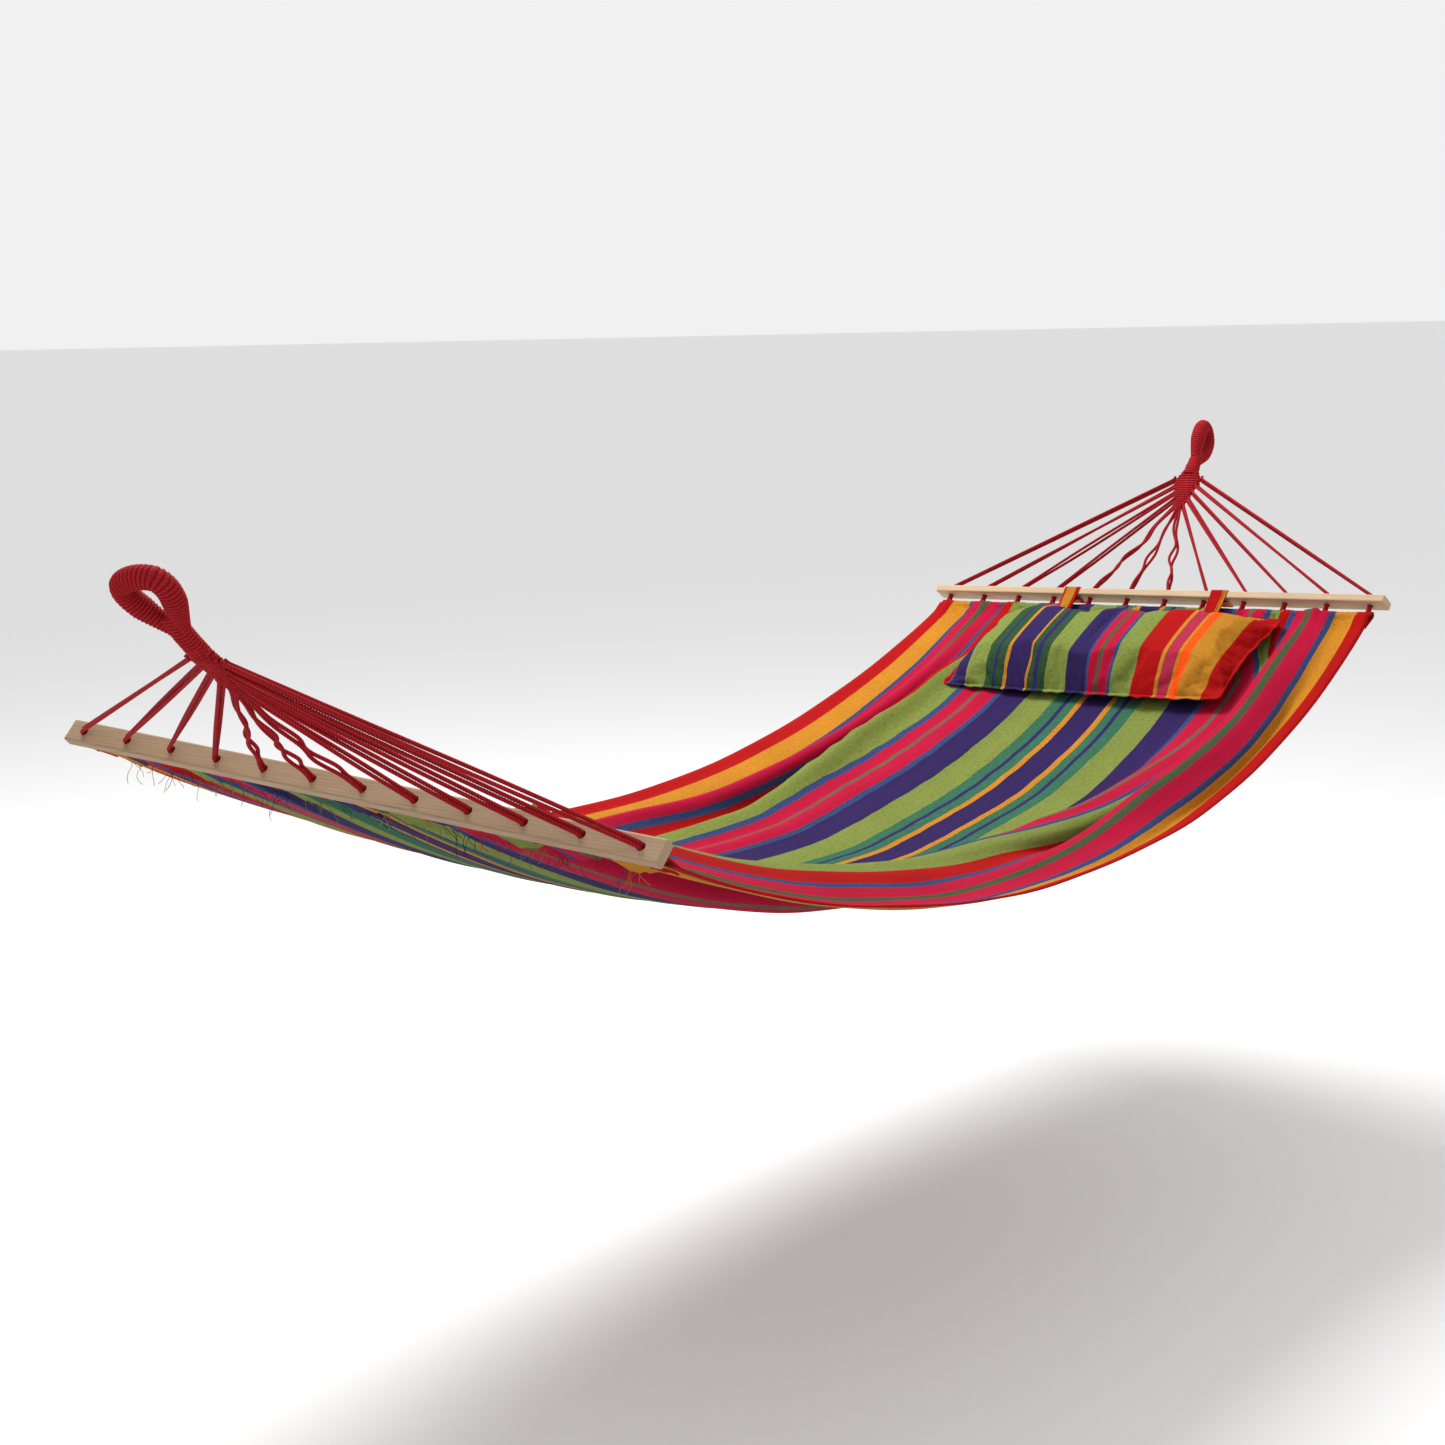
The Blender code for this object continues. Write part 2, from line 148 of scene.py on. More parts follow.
# Stripes of the pillow from its +Y side to its -Y side
PILLOW_STRIPES = (
    (8, "red"), (5, "blue"), (35, "purple"), (41, "light_green"), (19, "bottle_green"), (6, "navy"),
    (16, "bottle_green"), (7, "yellow"), (44, "purple"), (6, "yellow"), (13, "bottle_green"),
    (8, "navy"), (19, "bottle_green"), (44, "light_green"), (45, "purple"), (5, "blue"),
    (15, "pink"), (7, "dark_green"), (19, "pink"), (7, "blue"), (44, "light_green"), (50, "red"),
    (6, "yellow"), (22, "magenta"), (5, "yellow"), (19, "orange"), (50, "ochre"), (60, "red"),
)
STRAP_STRIPES = {
    1: ((5, "red"), (21, "ochre"), (8, "red")),
    2: ((25, "red"), (2, "ochre"), (2, "red"), (5, "ochre")),
}
CLOTH_HALF = sum(width for width, _ in BED_STRIPES) / 1000


# ---------------------------------------------------------------- working out shapes


def unit(vector):
    """The vector, or each row of vectors, divided by its length."""
    return vector / np.linalg.norm(vector, axis=-1, keepdims=True)


def ease(share):
    """Three times the square less twice the cube of a share held between 0 and 1."""
    share = np.clip(share, 0.0, 1.0)
    return share * share * (3 - 2 * share)


def along_stops(place, stops):
    """A value that eases from one stop to the next: between two stops it follows ease() of the share."""
    spots = np.array([stop[0] for stop in stops], float)
    values = np.array([stop[1] for stop in stops], float)
    index = np.clip(np.searchsorted(spots, place) - 1, 0, len(spots) - 2)
    share = (place - spots[index]) / (spots[index + 1] - spots[index])
    return values[index] + (values[index + 1] - values[index]) * ease(share)


def running_length(line):
    """How far along a line each of its points is: the running sum of the distances between them."""
    return np.concatenate([[0.0], np.cumsum(np.linalg.norm(np.diff(line, axis=0), axis=1))])


def resampled(points, step):
    """The same line with its points an equal step apart, by linear interpolation on its length."""
    lengths = running_length(points)
    places = np.linspace(0.0, lengths[-1], max(3, int(round(lengths[-1] / step)) + 1))
    return np.stack([np.interp(places, lengths, points[:, axis]) for axis in range(3)], axis=1)


def flowing_line(points, step, soften):
    """The line through points with its corners rounded: three running means over the soften length."""
    line = resampled(np.asarray(points, float), step)
    count = max(1, int(round(soften / step / 2)))
    kernel = np.ones(2 * count + 1) / (2 * count + 1)
    for _ in range(3):
        before = 2 * line[:1] - line[count:0:-1]
        after = 2 * line[-1:] - line[-2 : -count - 2 : -1]
        padded = np.vstack([before, line, after])
        line = np.stack([np.convolve(padded[:, axis], kernel, "valid") for axis in range(3)], axis=1)
    return resampled(line, step)


def piece(name, points, quads, triangles=None, cloth=None, lay=None):
    """A closed mesh from whole arrays, turned so that its signed volume is positive.

    cloth is each point's place on the flat cloth in metres, and lay is its height in the cord's twist, which
    the cord's finish also turns into painted shade in the grooves.
    """
    points = np.asarray(points, float).reshape(-1, 3)
    faces = [np.asarray(quads).reshape(-1, 4)]
    if triangles is not None and len(triangles):
        faces.append(np.asarray(triangles).reshape(-1, 3))
    volume = 0.0
    for group in faces:
        corners = points[group]
        for second in range(1, group.shape[1] - 1):
            turned = np.cross(corners[:, second], corners[:, second + 1])
            volume += float(np.sum(corners[:, 0] * turned))
    if volume < 0:
        faces = [group[:, ::-1] for group in faces]
    mesh = bpy.data.meshes.new(name)
    mesh.from_pydata(points.tolist(), [], [face for group in faces for face in group.tolist()])
    mesh.shade_smooth()
    if cloth is not None:
        flat = mesh.attributes.new("cloth", "FLOAT_VECTOR", "POINT")
        flat.data.foreach_set("vector", np.asarray(cloth, np.float32).ravel())
    if lay is not None:
        twist = mesh.attributes.new("lay", "FLOAT", "POINT")
        twist.data.foreach_set("value", np.asarray(lay, np.float32).ravel())
    made = bpy.data.objects.new(name, mesh)
    bpy.context.scene.collection.objects.link(made)
    return made


def ring_quads(rings, sides, offset=0, closed=False):
    """Quads between neighbouring rings of points; closed joins the last ring to the first."""
    first = np.arange(rings if closed else rings - 1)[:, None] * sides
    turn = np.arange(sides)[None, :]
    after = (turn + 1) % sides
    second = (first + sides) % (rings * sides)
    return np.stack([first + turn, first + after, second + after, second + turn], -1).reshape(-1, 4) + offset


def end_fans(rings, sides, hub):
    """Triangles that close both ends of a tube; its two hubs are the points hub and hub + 1."""
    turn = np.arange(sides)
    after = (turn + 1) % sides
    last = (rings - 1) * sides
    start = np.stack([after, turn, np.full(sides, hub)], -1)
    stop = np.stack([last + turn, last + after, np.full(sides, hub + 1)], -1)
    return np.vstack([start, stop])


def sweep(line, side_axis, half_a, half_b, sides):
    """Oval rings along a line: their points, each point's outward direction and its angle."""
    tangent = unit(np.gradient(line, axis=0))
    first = unit(side_axis - tangent * np.sum(side_axis * tangent, axis=1, keepdims=True))
    second = np.cross(tangent, first)
    angle = np.linspace(0.0, 2 * np.pi, sides, endpoint=False)
    cosine = np.cos(angle)[None, :, None]
    sine = np.sin(angle)[None, :, None]
    ring = first[:, None] * cosine * half_a[:, None, None] + second[:, None] * sine * half_b[:, None, None]
    outward = first[:, None] * cosine / half_a[:, None, None] + second[:, None] * sine / half_b[:, None, None]
    return line[:, None] + ring, unit(outward), np.broadcast_to(angle, (len(line), sides))


def laid_cord(name, line, diameter, reference, sides=12):
    """A three-strand laid cord, its radius by its strands' lobes.

    Radius = half the diameter x (0.93 + 0.19 |cos(1.5 (angle - twist))| ** 0.7).
    """
    radius = np.full(len(line), diameter / 2)
    _, outward, angle = sweep(line, np.broadcast_to(reference, line.shape), radius, radius, sides)
    twist = (2 * np.pi * running_length(line) / LAY_PITCH)[:, None]
    lobe = np.abs(np.cos(1.5 * (angle - twist))) ** 0.7
    points = line[:, None] + outward * (diameter / 2) * (0.93 + 0.19 * lobe)[..., None]
    rings = len(line)
    hubs = line[[0, -1]]
    # The lobes' height also goes out as lay, which paints shade between the strands.
    return piece(
        name,
        np.vstack([points.reshape(-1, 3), hubs]),
        ring_quads(rings, sides),
        end_fans(rings, sides, rings * sides),
        lay=np.concatenate([lobe.ravel(), [0.5, 0.5]]),
    )


def wrapping(share, angle, turns, plies):
    """Height of a cord wound round a core: a half circle over each turn, notched by the cord's own plies; the
    second value, lower between turns and plies, paints shade in those grooves.
    """
    phase = share * turns + angle / (2 * np.pi)
    place = phase - np.floor(phase)
    hump = np.sqrt(np.clip(1 - (2 * place - 1) ** 2, 0.0, 1.0)) ** 0.8
    ply = np.abs(np.cos(plies * angle / 2 + np.pi * place * 0.9))
    return hump * (0.82 + 0.18 * ply**0.8), hump * (0.55 + 0.45 * ply)


def basket(across, down, pitch):
    """Height of a plain weave: in even cells the lengthwise strand lies on top, in odd cells the crosswise."""
    column = across / pitch
    row = down / pitch
    x = column - np.floor(column)
    y = row - np.floor(row)
    even = (np.floor(column) + np.floor(row)) % 2 < 1
    lengthwise = np.sqrt(np.clip(1 - (2 * x - 1) ** 2, 0, 1)) * (0.55 + 0.45 * np.sin(np.pi * y))
    crosswise = np.sqrt(np.clip(1 - (2 * y - 1) ** 2, 0, 1)) * (0.55 + 0.45 * np.sin(np.pi * x))
    return np.where(even, lengthwise, crosswise)


def two_sided(rows, columns):
    """Quads of two like grids, the second turned over, and of the rim between them; then the rim's points."""
    index = np.arange(rows * columns).reshape(rows, columns)
    top = np.stack([index[:-1, :-1], index[:-1, 1:], index[1:, 1:], index[1:, :-1]], -1).reshape(-1, 4)
    below = top[:, ::-1] + rows * columns
    rim = np.concatenate([index[0, :], index[1:, -1], index[-1, -2::-1], index[-2:0:-1, 0]])
    after = np.roll(rim, -1)
    edge = np.stack([after, rim, rim + rows * columns, after + rows * columns], -1)
    return np.vstack([top, below, edge]), rim


def thick_sheet(name, grid, thickness, cloth, material):
    """A cloth of its own thickness: the grid moved half of it to each side of itself, with its rim closed."""
    rows, columns = grid.shape[:2]
    normal = unit(np.cross(np.gradient(grid, axis=0), np.gradient(grid, axis=1)))
    half = np.broadcast_to(np.asarray(thickness, float), (rows, columns))[..., None] / 2
    points = np.concatenate([(grid + normal * half).reshape(-1, 3), (grid - normal * half).reshape(-1, 3)])
    flat = np.asarray(cloth, float).reshape(-1, 3)
    made = piece(name, points, two_sided(rows, columns)[0], cloth=np.vstack([flat, flat]))
    made.data.materials.append(material)
    return made


class End:
    """One end's bar axes: across is along the bar, pull points to the neck, lift is square to both."""

    def __init__(self, name):
        settings = ENDS[name]
        self.name = name
        self.side = settings["side"]
        level = math.cos(settings["roll"])
        yaw = settings["yaw"]
        self.yaw = yaw
        self.across = np.array([-math.sin(yaw) * level, math.cos(yaw) * level, math.sin(settings["roll"])])
        low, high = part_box(name + "_bar")
        self.centre = (np.array(low) + np.array(high)) / 2
        self.neck = self.centre + np.array([self.side * settings["out"], 0.0, settings["rise"]])
        to_neck = self.neck - self.centre
        self.pull = unit(to_neck - self.across * np.dot(to_neck, self.across))
        self.lift = unit(np.cross(self.across, self.pull)) * -self.side
        lean = math.radians(settings["lean"])
        turn = math.radians(settings["turn"])
        level = math.cos(lean)
        self.eye_along = np.array([self.side * level * math.cos(turn), level * math.sin(turn), math.sin(lean)])
        self.eye = EYES[name]
        twist = math.radians(self.eye["twist"])
        level_side = unit(np.cross([0.0, 1.0, 0.0], self.eye_along))
        square = np.cross(self.eye_along, level_side)
        self.eye_sideways = level_side * math.cos(twist) + square * math.sin(twist)
        self.eye_start = self.neck + self.eye_along * ((NECK_GAP + EYE_NECK_DIAMETER) / abs(self.eye_along[0]))

    def hole(self, index):
        pitch = (BAR_LENGTH - 2 * HOLE_FROM_END) / (HOLE_COUNT - 1)
        return self.centre + self.across * (BAR_LENGTH / 2 - HOLE_FROM_END - index * pitch)

    def hem_point(self, offset):
        """A point, or a row of points, on the hem cord's line."""
        return self.centre + self.across * np.asarray(offset)[..., None] - self.pull * HEM_OFFSET

    def weave_exit(self, index):
        from_middle = (HOLE_COUNT - 1) / 2 - index
        step = abs(from_middle) - 0.5
        offset = math.copysign((step + 0.5) * STRAND_PITCH, from_middle)
        return self.neck - self.pull * (WEAVE_TIP - step * WEAVE_STEP) + self.across * offset


foot = End("foot")
head = End("head")


# ---------------------------------------------------------------- materials


class Socket:
    """A node's output with arithmetic: an expression adds the Math nodes that work it out."""

    def __init__(self, finish, link):
        self.finish = finish
        self.link = link

    def math(self, operation, *others):
        return self.finish.node("ShaderNodeMath", {"operation": operation}, dict(enumerate((self, *others))))

    def __add__(self, other):
        return self.math("ADD", other)

    def __mul__(self, other):
        return self.math("MULTIPLY", other)

    def __sub__(self, other):
        return self.math("SUBTRACT", other)

    def __rsub__(self, other):
        return self.finish.node("ShaderNodeMath", {"operation": "SUBTRACT"}, {0: other, 1: self})

    __radd__ = __add__
    __rmul__ = __mul__


class Finish:
    """A material under construction."""

    def __init__(self, name, roughness=0.8, **constants):
        self.material = bpy.data.materials.new(name)
        self.material.use_nodes = True
        self.tree = self.material.node_tree
        self.shader = self.tree.nodes["Principled BSDF"]
        self.shader.inputs["Roughness"].default_value = roughness
        for socket, value in constants.items():
            named = socket.replace("_", " ").title().replace("Ior", "IOR")
            self.shader.inputs[named].default_value = value

    def node(self, kind, settings=None, sockets=None, out=0):
        """Adds a node: its type, its settings, such as a ramp's stops, then its sockets' values or links."""
        made = self.tree.nodes.new(kind)
        for key, value in (settings or {}).items():
            if key == "stops":
                elements = made.color_ramp.elements
                for index, (place, colour) in enumerate(value):
                    stop = elements[index] if index < 2 else elements.new(place)
                    stop.position = place
                    stop.color = (*colour, 1.0)
            elif key == "blend":
                made.color_ramp.interpolation = value
            else:
                setattr(made, key, value)
        for key, value in (sockets or {}).items():
            if isinstance(value, Socket):
                self.tree.links.new(value.link, made.inputs[key])
            else:
                made.inputs[key].default_value = value
        return Socket(self, made.outputs[out])

    def place(self, attribute=None):
        """Where a point is: on the object, or in one of the piece's own attributes."""
        if attribute is None:
            return self.node("ShaderNodeTexCoord", out="Object")
        return self.node("ShaderNodeAttribute", {"attribute_name": attribute}, out="Vector")

    def stretched(self, place, scale, rotation=(0.0, 0.0, 0.0)):
        return self.node("ShaderNodeMapping", {}, {"Vector": place, "Scale": scale, "Rotation": rotation})

    def noise(self, place, scale, detail=3.0, roughness=0.55):
        sockets = {"Vector": place, "Scale": scale, "Detail": detail, "Roughness": roughness}
        return self.node("ShaderNodeTexNoise", {}, sockets)

    def split(self, place):
        """The three parts of a place, each as a socket."""
        made = self.node("ShaderNodeSeparateXYZ", {}, {0: place})
        return [Socket(self, output) for output in made.link.node.outputs]

    def ramp(self, value, stops, blend="LINEAR"):
        return self.node("ShaderNodeValToRGB", {"stops": stops, "blend": blend}, {0: value})

    def mixed(self, share, first, second, blend="MIX"):
        sockets = {"Factor": share, 6: first, 7: second}
        return self.node("ShaderNodeMix", {"data_type": "RGBA", "blend_type": blend}, sockets, out=2)

    def shaded(self, colour, value):
        """A colour made darker or lighter by a number: each channel times the number."""
        return self.node("ShaderNodeVectorMath", {"operation": "SCALE"}, {0: colour, "Scale": value})

    def finish(self, colour, height=None, distance=0.001, strength=0.5, roughness=None):
        self.tree.links.new(colour.link, self.shader.inputs["Base Color"])
        if roughness is not None:
            self.tree.links.new(roughness.link, self.shader.inputs["Roughness"])
        if height is not None:
            sockets = {"Height": height, "Distance": distance, "Strength": strength}
            bump = self.node("ShaderNodeBump", {}, sockets)
            self.tree.links.new(bump.link, self.shader.inputs["Normal"])
        return self.material


def four(colour):
    return (*colour, 1.0)


def stripe_stops(stripes):
    """Ramp stops from widths in millimetres: each stripe starts where the ones before it end."""
    total = sum(width for width, _ in stripes)
    starts = np.concatenate([[0.0], np.cumsum([width for width, _ in stripes])[:-1]]) / total
    return [(float(start), DYES[dye]) for start, (_, dye) in zip(starts, stripes)], total / 1000


def striped_cloth(name, stripes, mirrored, weft=(1.10, 0.50, 0.45), start=0.0):
    """Plain-woven cotton: coloured lengthwise yarns crossed by a thick weft that shows through as flecks."""
    made = Finish(name, roughness=0.9, specular_ior_level=0.08)
    place = made.place("cloth")
    across, down, _ = made.split(place)
    drift = (made.noise(made.stretched(place, (30.0, 5.0, 1.0)), 1.0) - 0.5) * 0.004
    comb = (made.noise(made.stretched(place, (30.0, 650.0, 1.0)), 1.0, 1.0) - 0.5) * 0.0022
    wander = across - start + drift + comb
    if mirrored:
        wander = wander.math("ABSOLUTE")
    stops, width = stripe_stops(stripes)
    colour = made.ramp(wander * (1 / width), stops, "CONSTANT")
    yarn = made.noise(made.stretched(place, (520.0, 14.0, 1.0)), 1.0, 2.0)
    slub = made.noise(made.stretched(place, (60.0, 420.0, 1.0)), 1.0, 2.0)
    cloudy = made.noise(place, 9.0, 4.0)
    tone = 0.55 + yarn * 0.30 + slub * 0.34 + cloudy * 0.26
    fleck_noise = made.noise(made.stretched(place, (120.0, 250.0, 1.0)), 1.0, 5.0, 0.80)
    fleck = made.ramp(fleck_noise, [(0.46, (0, 0, 0)), (0.60, (1, 1, 1))])
    colour = made.shaded(colour, tone)
    crossed = made.mixed(1.0, colour, four(weft), "MULTIPLY")
    colour = made.mixed(fleck * 0.85, colour, crossed)
    warp_wave = (across * (2 * math.pi / 0.0021)).math("SINE")
    weft_wave = (down * (2 * math.pi / 0.0025)).math("SINE")
    height = warp_wave * weft_wave * 0.5 + slub * 0.9 + yarn * 0.5 + fleck_noise * 0.6
    return made.finish(colour, height, distance=0.0011, strength=0.55, roughness=0.80 + slub * 0.16)


def cotton_cord():
    """Dyed cotton cord with fine fibres; light and shade are painted by the lay's height: dark in its grooves,
    paler on its crowns.
    """
    made = Finish("red_cotton_cord", roughness=0.82, specular_ior_level=0.15)
    place = made.place()
    lay = made.node("ShaderNodeAttribute", {"attribute_name": "lay"}, out="Fac")
    fibre = made.noise(place, 900.0, 2.0, 0.7)
    patch = made.noise(place, 28.0, 3.0)
    # Painted shade: the ramp darkens the cord towards the grooves of its lay and lightens it on the crowns.
    painted_groove_shade, side, crown = (0.045, 0.001, 0.002), (0.27, 0.004, 0.008), (0.40, 0.011, 0.018)
    colour = made.ramp(lay, [(0.10, painted_groove_shade), (0.62, side), (1.0, crown)])
    colour = made.shaded(colour, 0.66 + fibre * 0.34 + patch * 0.32)
    rough = 0.74 + fibre * 0.18
    return made.finish(colour, fibre + lay * 0.4, distance=0.0006, strength=0.5, roughness=rough)


def sawn_pine(name, yaw, pale, dark, ring_place):
    """Planed softwood: growth rings drawn out along the bar, fine pores and a few darker streaks."""
    made = Finish(name, roughness=0.6, specular_ior_level=0.35)
    place = made.stretched(made.place(), (1.0, 1.0, 1.0), (0.0, 0.0, -yaw))
    warp = made.noise(made.stretched(place, (9.0, 2.2, 9.0)), 1.0, 3.0)
    breadth, _, depth = made.split(place)
    rings = ((depth * 1.3 + breadth * 0.8 + ring_place) * 900.0 + warp * 26.0).math("SINE") * 0.5 + 0.5
    streak = made.noise(made.stretched(place, (420.0, 9.0, 420.0)), 1.0, 4.0, 0.65)
    pores = made.noise(made.stretched(place, (900.0, 40.0, 900.0)), 1.0, 2.0)
    broad = made.noise(made.stretched(place, (14.0, 3.0, 14.0)), 1.0, 3.0)
    share = rings * 0.16 + streak * 0.72 + broad * 0.45 - 0.18
    middle = tuple((a + b) / 2 for a, b in zip(pale, dark))
    colour = made.ramp(share, [(0.15, pale), (0.55, middle), (0.95, dark)])
    colour = made.shaded(colour, 0.86 + pores * 0.26)
    rough = 0.50 + streak * 0.22
    return made.finish(colour, streak + pores * 0.7, distance=0.0003, strength=0.3, roughness=rough)


BED_CLOTH = striped_cloth("striped_bed_cloth", BED_STRIPES, True)
PILLOW_CLOTH = striped_cloth(
    "striped_pillow_cloth", PILLOW_STRIPES, False, weft=(1.05, 0.60, 0.50), start=-PILLOW_WIDTH / 2
)
CORD = cotton_cord()
PINE = {
    # The foot bar's pine is given darker colours than the head bar's as painted shade, since that end hangs in
    # shade.
    "foot": sawn_pine("foot_bar_pine", foot.yaw, (0.42, 0.285, 0.17), (0.23, 0.14, 0.07), 0.0),
    "head": sawn_pine("head_bar_pine", head.yaw, (0.53, 0.38, 0.225), (0.34, 0.215, 0.11), 0.31),
}


# ---------------------------------------------------------------- harness


def leg_line(start, stop, amplitude, across, lift, count, lag):
    """A cord's run from the weave to its hole; a slack one wanders in waves that die out at its ends.

    The waves come closer together towards the hole, and the lag sets one strand's waves behind the other's.
    """
    share = np.linspace(0.0, 1.0, count)[:, None]
    fade = np.sin(np.pi * share)
    sway = np.sin(2 * np.pi * (WAVES_IN_LEG * share**1.3 - lag * share)) * fade * amplitude
    bow = fade * fade * amplitude
    return start + (stop - start) * share + across * sway - lift * bow * 0.6


def cord_path(end, index):
    """Weave, hole, round the hem cord and back: the two strands turn about each other on the way down."""
    half = STRAND_PITCH / 2
    hole = end.hole(index)
    amplitude = SLACK[end.name].get(index, 0.0)
    leave = end.weave_exit(index)
    bend = hole + end.pull * (BAR_THICKNESS / 2 + BEND_CLEARANCE)
    inner = hole - end.pull * (BAR_THICKNESS / 2 + HOLE_CLEARANCE)
    hem = hole - end.pull * HEM_OFFSET
    count = 60
    share = np.linspace(0.0, 1.0, count)[:, None]
    sideways = unit(np.cross(bend - leave, end.lift))
    turn = QUARTER_TURNS[index] * np.pi / 2 * (1 - share) ** 1.4
    gap = 1 + np.sin(np.pi * share**1.5) ** 2 * STRAND_PARTING[index]
    offset = (end.lift * np.cos(turn) + sideways * np.sin(turn)) * half * gap
    lag = 0.35 + 0.3 * (index % 2)
    upper = leg_line(leave, bend, amplitude, end.across, end.lift, count, 0.0) + offset
    lower = leg_line(leave, bend, amplitude * 0.8, end.across, end.lift, count, lag) - offset
    turn = np.radians([80.0, 40.0, 0.0, -40.0, -80.0])[:, None]
    bight = hem + BIGHT_RADIUS * (-end.pull * np.cos(turn) + end.lift * np.sin(turn))
    root = end.pull * 0.006
    through = [inner + end.lift * half]
    back = [inner - end.lift * half]
    return np.vstack([upper[:1] + root, upper, through, bight, back, lower[::-1], lower[:1] + root])


def make_cords(end):
    for index in range(HOLE_COUNT):
        line = flowing_line(cord_path(end, index), 0.00125, 0.0045)
        node = f"{end.name}_cord_{index + 1:02d}"
        cord = laid_cord(node + "_laid", line, STRAND_DIAMETER, end.across)
        cord.data.materials.append(CORD)
        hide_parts(node)
        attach(cord, "hammock")


def make_eye(end):
    """A teardrop ring wound all round with cord: the ring's line is the CAD eye's, its skin the winding."""
    rings = 560
    sides = 54
    angle = np.linspace(0, 2 * np.pi, rings, endpoint=False)
    share = (1 - np.cos(angle)) / 2
    grown = np.clip(share * 2, 0, 1) ** 0.8
    radius = (EYE_NECK_DIAMETER + (EYE_TUBE_DIAMETER - EYE_NECK_DIAMETER) * grown) / 2
    reach = EYE_LENGTH - EYE_TUBE_DIAMETER / 2 - np.linalg.norm(end.eye_start - end.neck)
    leg = EYE_NECK_DIAMETER * 0.55
    drop = np.sin(angle) * np.abs(np.sin(angle / 2)) ** end.eye["fullness"]
    side = ((end.eye["width"] - EYE_TUBE_DIAMETER) / 2 - leg) * drop / np.abs(drop).max()
    side = side + leg * np.clip(np.sin(angle) * 2, -1, 1)
    line = end.eye_start + np.outer(share * reach, end.eye_along) + np.outer(side, end.eye_sideways)
    around = np.vstack([line, line[:1]])
    lengths = running_length(around)
    places = np.linspace(0.0, lengths[-1], rings, endpoint=False)
    line = np.stack([np.interp(places, lengths, around[:, axis]) for axis in range(3)], axis=1)
    radius = np.interp(places, lengths, np.append(radius, radius[0]))
    tangent = unit(np.roll(line, -1, axis=0) - np.roll(line, 1, axis=0))
    flat = unit(np.cross(end.eye_along, end.eye_sideways))
    second = np.cross(tangent, flat)
    turn = np.linspace(0, 2 * np.pi, sides, endpoint=False)[None, :]
    outward = flat * np.cos(turn)[..., None] + second[:, None] * np.sin(turn)[..., None]
    turns = round(lengths[-1] / WINDING_PITCH)
    # lay, lower between turns and plies, paints shade in the winding's grooves.
    height, lay = wrapping(places[:, None] / lengths[-1], turn + 0 * radius[:, None], turns, 18)
    reach = radius[:, None] - WINDING_SINK + WINDING_HEIGHT * height
    skin = line[:, None] + outward * reach[..., None]
    eye = piece(end.name + "_eye_winding", skin, ring_quads(rings, sides, closed=True), lay=lay)
    eye.data.materials.append(CORD)
    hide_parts(end.name + "_eye")
    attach(eye, "hanging_eyes")


def make_clew(end):
    """The woven diamond under the neck: a flat closed form whose half width opens to the outer cords."""
    rings = 150
    sides = 96
    down = np.linspace(0.0, WEAVE_TIP + 0.002, rings)
    shoulder = WEAVE_TIP - (HOLE_COUNT / 2 - 1) * WEAVE_STEP
    stops = [(0.0, 0.0125), (shoulder * 0.35, 0.0150), (shoulder, 0.0290), (WEAVE_TIP + 0.004, 0.0026)]
    spots = np.array([stop[0] for stop in stops])
    widths = np.array([stop[1] for stop in stops])
    half_a = np.interp(down, spots, widths)
    half_b = np.interp(down, [0.0, shoulder, WEAVE_TIP + 0.004], [0.0118, 0.0058, 0.0040])
    angle = np.linspace(0.0, 2 * np.pi, sides, endpoint=False)[None, :]
    square = 0.72
    across = half_a[:, None] * np.sign(np.cos(angle)) * np.abs(np.cos(angle)) ** square
    thick = half_b[:, None] * np.sign(np.sin(angle)) * np.abs(np.sin(angle)) ** square
    height = basket(across + 0.5 * STRAND_PITCH, down[:, None] + 0 * angle, STRAND_PITCH)
    outward = np.cos(angle)[..., None] * end.across / half_a[:, None, None]
    outward = outward + np.sin(angle)[..., None] * end.lift / half_b[:, None, None]
    line = end.neck - np.outer(down, end.pull)
    skin = line[:, None] + across[..., None] * end.across + thick[..., None] * end.lift
    skin = skin + unit(outward) * ((height - BASKET_LEVEL) * BASKET_RELIEF)[..., None]
    hubs = line[[0, -1]]
    # The weave's height also goes out as lay, which paints shade where the strands dip under each other.
    clew = piece(
        end.name + "_clew_basket",
        np.vstack([skin.reshape(-1, 3), hubs]),
        ring_quads(rings, sides),
        end_fans(rings, sides, rings * sides),
        lay=np.concatenate([height.ravel(), [0.5, 0.5]]),
    )
    clew.data.materials.append(CORD)
    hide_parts(end.name + "_clew_weave")
    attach(clew, "hammock")


